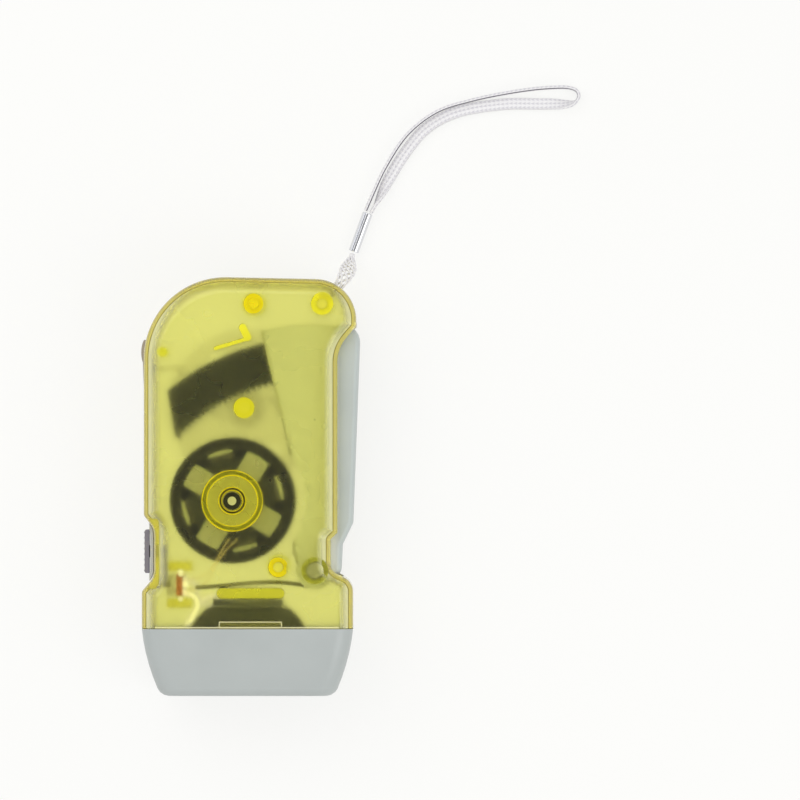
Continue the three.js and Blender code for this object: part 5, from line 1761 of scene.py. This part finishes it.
    def pocket_wall(self, low: float, high: float) -> Object:
        """Make the thick wall behind the switch's recess, which is straight on the inside.

        Args:
            low: Its lower height.
            high: Its upper height.

        Returns:
            The wall.
        """
        filling = prism("pocket wall", self.outline(0.0).points(self.pocket_inset), low, high,
                        Skin.FROSTED, Skin.WARM_END)
        reach = prism("reach", rectangle(*self.pocket), low - self.past, high + self.past)
        return combined(filling, Join.KEEP, [reach])

    def stop_rib(self, low: float, high: float) -> list[Object]:
        """Make the bent rib that stops the squeezed lever.

        Args:
            low: Its lower height.
            high: Its upper height.

        Returns:
            Its two legs.
        """
        result = []
        for length, width, bearing in self.stop_legs:
            along = Vector((math.cos(math.radians(bearing)), math.sin(math.radians(bearing))))
            middle = Vector(self.stop_bend) + along * ((length - self.stop_round) / 2)
            leg = stadium(middle.x, middle.y, length + self.stop_round, width, bearing)
            result.append(prism("stop rib", leg, low, high, ends=Skin.SOFT_END))
        return result

    def front(self) -> Object:
        """Make the front half, which carries the posts that are seen through its face.

        Returns:
            The half.
        """
        low, high = PARTING_Z + self.seam, DEPTH - self.wall + self.weld
        top, bottom, strap = self.screw_places
        axle_low, axle_high = self.axle_bore_span
        # Ends marked LIT_END, SOFT_END or HUB_END, here and in the holes, glow with painted light.
        inside = [
            self.post(self.screw_post, top, low, high, Skin.LIT_END),
            self.post(self.screw_post, bottom, low, high, Skin.LIT_END),
            self.post(self.strap_post, strap, low, high, Skin.SOFT_END),
            self.post(self.locator_radius, self.locator, self.locator_low, high),
            self.post(self.axle_post, GEAR, axle_low + self.axle_gap, high, Skin.SOFT_END),
            self.ring(self.pin_ring, PIVOT, self.lever_slot.high, high, Skin.FROSTED),
            *self.lipped_ring(self.hub_ring, FLYWHEEL, self.hub_low, high),
            self.post(self.hub_disc, FLYWHEEL, self.hub_disc_low, high, Skin.HUB_END),
            *self.lipped_ring(self.bush_ring, FLYWHEEL, self.hub_low, high),
            *self.stop_rib(self.stop_low, high),
            prism("spring rib", stadium(*self.spring_rib), self.spring_rib_low, high,
                  ends=Skin.DULL_END),
            self.pocket_wall(low, high),
        ]
        ends = (Skin.LIT_END, Skin.SOFT_END, Skin.SOFT_END)
        holes = [
            *(self.post(self.screw_bore, where, PARTING_Z, self.screw_bore_high, end,
                        self.bore_sides) for where, end in zip(self.screw_places, ends)),
            self.post(self.axle_bore, GEAR, axle_low, axle_high, Skin.SOFT_END, self.bore_sides),
            self.post(self.pin_ring[0], PIVOT, self.pin_span[1], DEPTH - self.wall),
            self.tongue_groove(), self.seam_step(), *self.openings(),
        ]
        return combined(combined(self.empty(Half.FRONT), Join.ADD, inside), Join.CUT, holes)

    def rear(self) -> Object:
        """Make the rear half, whose pillars take the screws.

        Returns:
            The half.
        """
        low, high, boss = self.wall - self.weld, PARTING_Z - self.seam, self.rear_boss_high
        # The WARM_END ends of the switch ribs and the pocket wall glow faintly with painted light.
        inside = [
            *(self.post(self.pillar, where, low, high) for where in self.screw_places),
            self.post(self.locator_radius, self.locator, low, high),
            self.post(self.pillar, GEAR, low, boss),
            self.post(self.bush_ring[1], FLYWHEEL, low, boss),
            self.post(self.pin_ring[1], PIVOT, low, self.lever_slot.low),
            *self.switch_ribs(low, high), self.pocket_wall(low, high),
        ]
        holes = [
            *(self.post(self.screw_bore, where, 0.0, PARTING_Z, sides=self.bore_sides)
              for where in self.screw_places),
            *(self.post(self.head_bore, where, -self.past, self.head_bore_high,
                        sides=self.hole_sides) for where in self.screw_places),
            self.post(self.axle_bore, GEAR, self.rear_bore_low, PARTING_Z, sides=self.bore_sides),
            self.post(self.bush_ring[0], FLYWHEEL, self.rear_bore_low, PARTING_Z),
            self.post(self.pin_ring[0], PIVOT, self.pin_span[0], PARTING_Z),
            *self.openings(),
        ]
        return combined(combined(self.empty(Half.REAR), Join.ADD, inside), Join.CUT, holes)

    def screw(self) -> Object:
        """Make one case screw with its crossed slots, standing at the layout's origin.

        Returns:
            The screw.
        """
        low, high = self.screw_head_span
        long, short = self.screw_cross
        heights = [(low + rise, share) for rise, share in self.screw_head_curve] + [(high, 1.0)]
        head = body_of_rings("head", [
            [Vector((p.x, p.y, z)) for p in circle(self.screw_head_radius * share)]
            for z, share in heights])
        shank = prism("shank", circle(self.screw_shank, sides=self.bore_sides),
                      high - self.screw_overlap, low + self.screw_length)
        slots = [Block(-a, a, -b, b, low - self.past, low + self.screw_cross_depth).make("slot")
                 for a, b in ((long, short), (short, long))]
        return combined(combined(head, Join.ADD, [shank]), Join.CUT, slots)

    def screws(self) -> None:
        """Set the same screw into its three places."""
        kit = NodeKit("screw_nodes", {"Scale": MM})
        model = self.screw()
        shape = kit.add("GeometryNodeObjectInfo", {"Object": model})
        spread = kit.add("GeometryNodeInstanceOnPoints", links={
            "Points": kit.size("Geometry"), "Instance": shape.outputs["Geometry"],
            "Scale": kit.size("Scale")})
        kit.close(spread)
        spots = [place(x, y, 0.0) for x, y in self.screw_places]
        piece = kit.run("case_screws", dots("case_screws", spots), Finish.STEEL)
        bpy.data.objects.remove(model)
        smoothed(piece, sharp=32.0)
        fitted(piece, "case", "steel", "case_screw_1", "case_screw_2", "case_screw_3")

    def build(self) -> None:
        """Build both halves and the screws."""
        front, rear = self.front(), self.rear()
        front.name, rear.name = "case_front", "case_rear"
        fitted(laid(front, Finish.CASE, sharp=30.0), "case", "yellow_shell", "front_shell")
        fitted(laid(rear, Finish.CASE_REAR, sharp=30.0), "case", "yellow_shell", "rear_shell")
        self.screws()


@dataclass
class LampHead:
    """Grey bezel, lens, reflector and LEDs.

    Profiles are pairs of a radius and a distance from the LED's base.
    """

    led_places: tuple[float, ...] = (-5.5, 0.0, 5.5)
    led_radius: float = 2.3
    led_height: float = 7.0
    led_base_y: float = 5.25
    flange_radius: float = 2.45
    flange_height: float = 0.9
    cup: Pairs = ((0.35, 1.4), (0.35, 3.0), (1.0, 3.9), (0.85, 3.9), (0.5, 3.35), (0.0, 3.35))
    chip: Pairs = ((0.0, 3.4), (0.48, 3.4), (0.75, 3.75), (0.0, 3.85))
    least_radius: float = 0.01
    flange_slope: float = 0.1
    led_sides: int = 32
    tongue_margin: float = 0.05
    inner_turn: float = 0.5
    nearly_none: float = 1e-5

    def lathe(self, profile: list[Pair]) -> list[list[Vector]]:
        """Give a profile's rings about the lamp's axis, for the LED in the middle."""
        return [[Vector((p.x, self.led_base_y - reach, PARTING_Z + p.y))
                 for p in circle(max(radius, self.least_radius), sides=self.led_sides)]
                for radius, reach in profile]

    def led_profile(self) -> list[Pair]:
        """Give the LED body's profile: a flange, a barrel and a dome.

        Returns:
            The profile.
        """
        barrel, flange = self.led_height - self.led_radius, self.flange_radius
        dome = [(self.led_radius * math.cos(math.radians(a)),
                 barrel + self.led_radius * math.sin(math.radians(a))) for a in range(0, 90, 10)]
        return [(flange, 0.0), (flange, self.flange_height),
                (self.led_radius, self.flange_height + self.flange_slope), *dome,
                (0.0, self.led_height)]

    def leds(self) -> None:
        """Build the three LEDs, each with the cup and the phosphor inside."""
        for number, x in enumerate(self.led_places, 1):
            for part, finish, profile in (("body", Finish.CLEAR, self.led_profile()),
                                          ("cup", Finish.MIRROR, self.cup),
                                          ("chip", Finish.PHOSPHOR, self.chip)):
                body = body_of_rings(f"lamp_led_{part}_{number}", self.lathe(profile))
                body.data.transform(Matrix.Translation((x, 0, 0)))
                laid(body, finish, sharp=40.0)
                fitted(body, "case", "clear", *([f"led_{number}"] if part == "body" else []))

    def bezel(self) -> None:
        """Build the bezel; its tongue under the case's front wall gets painted shade."""
        piece = refined("head_bezel", "lamp_bezel", "case", Finish.HEAD_GREY, "grey_plastic",
                        sharp=30.0)
        piece.data.materials.append(material_of(Finish.TONGUE_PAINTED_SHADE))
        # Faces on the case's side of the seam get the painted shade.
        for face in piece.data.polygons:
            face.material_index = int(face.center.y > (LAYOUT_SHIFT.y - self.tongue_margin) * MM)

    def mirror(self) -> None:
        """Give the reflector a mirrored inside and a dark back."""
        piece = refined("reflector", "lamp_reflector", "case", Finish.SHADE, "chrome", sharp=40.0)
        mesh = piece.data
        mesh.materials.append(material_of(Finish.MIRROR))
        for face in mesh.polygons:
            centre, normal = face.center, face.normal
            outward = (centre.x - LAYOUT_SHIFT.x * MM) * normal.x
            outward += (centre.z - PARTING_Z * MM) * normal.z
            level = abs(outward) <= self.nearly_none and normal.y < -self.inner_turn
            face.material_index = int(outward < -self.nearly_none or level)

    def build(self) -> None:
        """Rebuild the head's pieces."""
        self.bezel()
        refined("lens", "lamp_lens", "case", Finish.CLEAR, "clear")
        self.mirror()
        refined("led_board", "lamp_board", "case", Finish.BOARD_DARK, "board_green")
        self.leds()


@dataclass
class Grip:
    """The squeeze lever with its sector gear, pin and spring."""

    spring_wire: Wire = Wire(0.5, 14)
    spring_radius: float = 4.3
    spring_pitch: float = 1.3
    spring_turns: float = 4.5
    spring_top: float = 20.3
    leg_reach: float = 30.0
    leg_rise: float = 1.3
    leg_skew: float = 1.5
    leg_steps: int = 24
    hook_reach: float = 5.6
    turn_steps: int = 40

    def spring_route(self) -> list[Vector]:
        """Give the spring's one unbroken route: case leg, coil and lever leg.

        Returns:
            The points, in metres.
        """
        spots = []
        for step in range(self.leg_steps):
            share = step / self.leg_steps
            rise = self.leg_rise * math.sin(math.pi * share ** self.leg_skew)
            spots.append((-self.leg_reach * (1 - share), rise - self.spring_radius,
                          self.spring_top))
        for step in range(int(self.spring_turns * self.turn_steps) + 1):
            turn = step / self.turn_steps
            angle = 2 * math.pi * turn - math.pi / 2
            spots.append((self.spring_radius * math.cos(angle), self.spring_radius * math.sin(angle),
                          self.spring_top - self.spring_pitch * turn))
        spots.append((-self.hook_reach, self.spring_radius,
                      self.spring_top - self.spring_pitch * self.spring_turns))
        return [place(PIVOT[0] + x, PIVOT[1] + y, z) for x, y, z in spots]

    def build(self) -> None:
        """Build the lever's pieces and the spring."""
        refined("lever", "squeeze_lever", "lever", Finish.LEVER_GREY, "grey_plastic", sharp=35.0)
        refined("sector_gear", "toothed_sector", "lever", Finish.DARK, "dark_plastic", sharp=25.0)
        for number in (1, 2):
            refined(f"sector_screw_{number}", f"gear_screw_{number}", "lever", Finish.STEEL, "steel")
        spring = self.spring_wire.make("torsion_spring", self.spring_route(), Finish.SPRING)
        fitted(spring, "case", "steel", "return_spring")
        refined("lever_pivot_pin", "pivot_pin", "case", Finish.STEEL, "steel")


@dataclass
class Generator:
    """Gears, clutch, flywheel, magnet, stator and coil."""

    wheel_share: float = 0.965
    bush_radius: float = 2.2
    bush_span: Pair = (22.02, 26.95)
    bush_bore: float = 1.12
    bush_bore_low: float = 20.0

    def slimmed(self, piece: Object) -> None:
        """Draw a turning piece a little slimmer about the flywheel's axis, as the photo has it."""
        share, axis = self.wheel_share, place(*FLYWHEEL, 0.0)
        piece.data.transform(Matrix.Translation(axis) @ Matrix.Diagonal((share, share, 1.0, 1.0))
                             @ Matrix.Translation(-axis))

    def build(self) -> None:
        """Dress the generator's pieces."""
        plain = {
            Finish.NYLON: ("drive_gear", "drive_pinion", "clutch_pawl_1", "clutch_pawl_2"),
            Finish.STEEL: ("gear_axle",), Finish.BRASS: ("flywheel_pinion", "rear_bush"),
            Finish.DARK_STEEL: ("stator_core",), Finish.DARK: ("coil_bobbin",),
            Finish.COPPER: ("coil_winding",),
        }
        for finish, nodes in plain.items():
            for node in nodes:
                dress_node(node, finish)
        for node, name, finish, slot in (
                ("flywheel_cup", "flywheel", Finish.DARK_STEEL, "dark_steel"),
                ("ring_magnet", "magnet_ring", Finish.MAGNET, "magnet")):
            self.slimmed(refined(node, name, "flywheel", finish, slot))
        refined("flywheel_shaft", "shaft", "flywheel", Finish.GROUND_STEEL, "steel")
        for side in ("front", "rear"):
            refined(f"stator_{side}_plate", f"claw_plate_{side}", "case", Finish.STATOR, "steel")
        bush = prism("rubber_bush", circle(self.bush_radius, *FLYWHEEL), *self.bush_span)
        bore = prism("bore", circle(self.bush_bore, *FLYWHEEL), self.bush_bore_low, DEPTH)
        bush = laid(combined(bush, Join.CUT, [bore]), Finish.RUBBER, sharp=32.0)
        fitted(bush, "case", "black_rubber", "front_bush")


@dataclass
class Controls:
    """Switch, lock and the wires between coil, switch and lamp."""

    knob_x: float = -26.1
    knob_y: float = 19.1
    knob_length: float = 10.9
    knob_blunting: float = 0.3
    knob_gap: float = 0.1
    knob_stem: Block = Block(-25.7, -20.75, 17.6, 20.6, 13.0, 16.0)
    knob_arm: Block = Block(-21.45, -20.75, 10.15, 20.6, 13.0, 16.0)
    knob_nub: Block = Block(-21.45, -19.55, 10.15, 11.15, 13.75, 15.25)
    pad_span: Pair = (11.0, 18.0)
    ridges: int = 8
    ridge_depth: float = 0.14
    ridge_width: float = 1.15
    ridge_length: float = 6.8
    ridge_sides: int = 16
    liner_gap: float = 0.3
    liner_wall: float = 0.8
    liner_field: Block = Block(-24.75, -21.0, 11.75, 26.45, 9.0, 20.0)
    liner_depth: float = 9.0
    lock_x: float = -26.2
    lock_rise: float = 0.6
    lock_bump: Pair = (66.3, 5.6)
    lock_steps: int = 20
    lock_rim: Pairs = ((-26.0, 60.7), (-25.4, 60.9), (-25.4, 72.1), (-26.0, 72.3))
    lock_ends: Pair = (61.0, 72.1)
    lock_bulge: float = 0.6
    lock_stem: Block = Block(-26.0, -24.8, 63.0, 66.2, 12.5, 16.5)
    hook: Block = Block(-24.8, -24.2, 64.4, 65.9, 7.1, 16.5)
    hook_reach: Block = Block(-24.8, -16.5, 64.4, 65.9, 7.1, 8.7)
    hook_tip: Block = Block(-18.0, -16.5, 63.3, 65.9, 7.1, 8.7)
    coil_lead: Wire = Wire(0.12, 12)
    coil_lead_z: float = 18.72
    lamp_wire: Wire = Wire(0.62, 14)
    wire_steps: int = 70

    def knob(self) -> None:
        """Build the slide knob: pad, stem, arm and the ridges that the thumb pushes."""
        half, blunt = self.knob_length / 2, self.knob_blunting
        inner = self.liner_field.x0 - self.knob_gap
        base = self.knob_x + self.ridge_depth
        outline = [Vector((x, self.knob_y + y)) for x, y in (
            (base, blunt - half), (base + blunt, -half), (inner, -half),
            (inner, half), (base + blunt, half), (base, half - blunt))]
        slab = prism("slide_knob", outline, *self.pad_span)
        parts = [self.knob_stem.make("stem"), self.knob_arm.make("arm"), self.knob_nub.make("nub")]
        knob = laid(combined(slab, Join.ADD, parts), Finish.KNOB_GREY, sharp=30.0)
        fitted(knob, "switch_knob", "knob_grey", "switch_knob")
        fitted(self.ridge_row(base), "switch_knob", "knob_grey")

    def liner(self) -> None:
        """Build the thin liner that follows the case's recess behind the knob."""
        case, deep, field = Case(), self.liner_depth / 2, self.liner_field
        outline = case.outline(0.0)
        sheet = prism("switch_liner", outline.points(-self.liner_gap - self.liner_wall),
                      PARTING_Z - deep, PARTING_Z + deep)
        inside = prism("inside", outline.points(-self.liner_gap), field.low, field.high)
        sheet = combined(combined(sheet, Join.KEEP, [field.make("field")]), Join.CUT,
                         [inside, case.switch_slot.make("window")])
        fitted(laid(sheet, Finish.PLATE_GREY, sharp=32.0), "case", "grey_plastic", "switch_plate")

    def ridge_row(self, base: float) -> Object:
        """Repeat one rounded ridge along the knob.

        Args:
            base: Where the ridges stand, across the light.

        Returns:
            The ridges.
        """
        pitch = self.knob_length / self.ridges
        kit = NodeKit("ridge_nodes", {
            "Ridges": self.ridges, "Pitch": pitch * MM, "Radius": self.ridge_depth * MM,
            "Depth": self.ridge_length * MM, "Sides": self.ridge_sides})
        step = kit.add("ShaderNodeCombineXYZ", links={"Y": kit.size("Pitch")})
        row = kit.add("GeometryNodeMeshLine", links={
            "Count": kit.size("Ridges"), "Offset": step})
        bar = kit.add("GeometryNodeMeshCylinder", links={
            "Vertices": kit.size("Sides"), "Radius": kit.size("Radius"),
            "Depth": kit.size("Depth")})
        wider = kit.add("GeometryNodeTransform", {"Scale": (1.0, self.ridge_width, 1.0)},
                        {"Geometry": bar.outputs["Mesh"]})
        spread = kit.add("GeometryNodeInstanceOnPoints", links={"Points": row, "Instance": wider})
        first = place(base, self.knob_y - self.knob_length / 2 + pitch / 2, PARTING_Z)
        moved = kit.add("GeometryNodeTransform", {"Translation": tuple(first)},
                        {"Geometry": spread})
        kit.close(moved)
        piece = kit.run("knob_ridges", dots("knob_ridges", []), Finish.KNOB_GREY)
        smoothed(piece, sharp=50.0)
        return piece

    def lock(self) -> None:
        """Build the lock slider: a plate with a rounded bump, a stem and the hook inside."""
        start, length = self.lock_bump
        first, last = self.lock_ends
        bump = []
        for step in range(self.lock_steps - 1, 0, -1):
            share = step / self.lock_steps
            rise = self.lock_rise * math.sin(math.pi * share) ** self.lock_bulge
            bump.append(Vector((self.lock_x - rise, start + length * share)))
        outline = [*(Vector(spot) for spot in self.lock_rim), Vector((self.lock_x, last)), *bump,
                   Vector((self.lock_x, first))]
        plate = prism("lever_lock", outline, *self.pad_span)
        lock = combined(plate, Join.ADD, [self.lock_stem.make("stem")])
        fitted(laid(lock, Finish.LOCK_GREY, sharp=40.0), "lock_slider", "lock_grey", "lock_slider")
        hook = combined(self.hook.make("lever_hook"), Join.ADD,
                        [self.hook_reach.make("reach"), self.hook_tip.make("tip")])
        fitted(laid(hook, Finish.NYLON, sharp=40.0), "lock_slider", "lock_grey")

    def wires(self) -> None:
        """Run the coil's leads and the lamp's wires."""
        leads = [[(-4.6, 22.4, -0.5), (-6.4, 19.6, -0.2), (-8.2, 16.4, -0.1), (-10.2, 13.6, -0.9),
                  (-12.8, 12.4, -2.1), (-15.9, 12, -3.3)],
                 [(-2.6, 22.2, -0.5), (-5.2, 19.7, -0.2), (-7.8, 16, -0.3), (-10, 12, -1.7),
                  (-12.6, 9.8, -3.7), (-15.9, 9.2, -5.3)]]
        lamp = [[(-15.9, 8.6, 4.1), (-13.5, 7.9, 6.5), (-12.5, 5.9, 7.9), (-13.3, 3.4, 8.6),
                 (-14.6, 1.2, 8.6), (-15.2, 0.9, 6), (-15, 1.4, 2.5), (-14, 3, -0.3),
                 (-12.4, 5.4, -1.6), (-10.2, 7.4, 0.2), (-8, 8.1, 2.5)],
                [(-15.7, 12, -3.5), (-13.2, 10.6, -6.9), (-12.4, 6.4, -8.9), (-9.4, 5.4, -9.1),
                 (-7.4, 7.4, -7.5), (-6.4, 8.1, -3.9)]]
        kinds = (("coil_lead", "winding_lead", leads, self.coil_lead_z, self.coil_lead,
                  Finish.ENAMEL, "copper"),
                 ("lamp_wire", "lamp_lead", lamp, PARTING_Z, self.lamp_wire, Finish.CREAM,
                  "cream_wire"))
        for node, name, routes, layer, wire, finish, slot in kinds:
            for number, route in enumerate(routes, 1):
                path = spline([place(x, y, layer + z) for x, y, z in route], self.wire_steps)
                piece = wire.make(f"{name}_{number}", path, finish)
                fitted(piece, "case", slot, f"{node}_{number}")

    def solder(self) -> None:
        """Put a drop of solder where each wire or switch leg meets the board."""
        drops = [(-16.25, 12.0, 15.4, 0.75), (-16.25, 9.2, 13.4, 0.75), (-16.1, 8.7, 18.6, 0.8),
                 (-16.25, 12.0, 11.0, 0.9), (-16.9, 13.9, 19.2, 0.75), (-16.9, 13.4, 19.9, 0.6),
                 (-16.9, 7.1, 19.2, 0.55), (-15.6, 10.9, 19.4, 0.85), (-16.1, 10.9, 19.2, 0.8)]
        kit = NodeKit("solder_nodes", {"Size": MM, "Detail": 3})
        ball = kit.add("GeometryNodeMeshIcoSphere", links={
            "Radius": kit.size("Size"), "Subdivisions": kit.size("Detail")})
        size = kit.add("GeometryNodeInputNamedAttribute", {"Name": "size"})
        spread = kit.add("GeometryNodeInstanceOnPoints", links={
            "Points": kit.size("Geometry"), "Instance": ball, "Scale": size})
        kit.close(spread)
        mesh = dots("solder_drops", [place(x, y, z) for x, y, z, _ in drops])
        sizes = mesh.attributes.new("size", "FLOAT", "POINT")
        for item, (_, _, _, size_mm) in zip(sizes.data, drops):
            item.value = size_mm
        piece = kit.run("solder_drops", mesh, Finish.SOLDER)
        smoothed(piece, sharp=60.0)
        fitted(piece, "case", "steel")

    def build(self) -> None:
        """Build the switch, the lock and the wires."""
        self.liner()
        self.knob()
        self.lock()
        refined("switch_body", "slide_switch", "case", Finish.NYLON, "black_rubber")
        refined("switch_board", "solder_board", "case", Finish.BOARD_BROWN, "board_brown")
        self.wires()
        self.solder()


def main() -> None:
    """Build the scene in order, camera and cords first."""
    logging.basicConfig(level=logging.INFO, format="%(name)s: %(message)s")
    bpy.context.scene.view_settings.view_transform = "Standard"
    Studio().build()
    HandStrap().build()
    Case().build()
    LampHead().build()
    Grip().build()
    Generator().build()
    Controls().build()


if __name__ == "__main__":
    main()
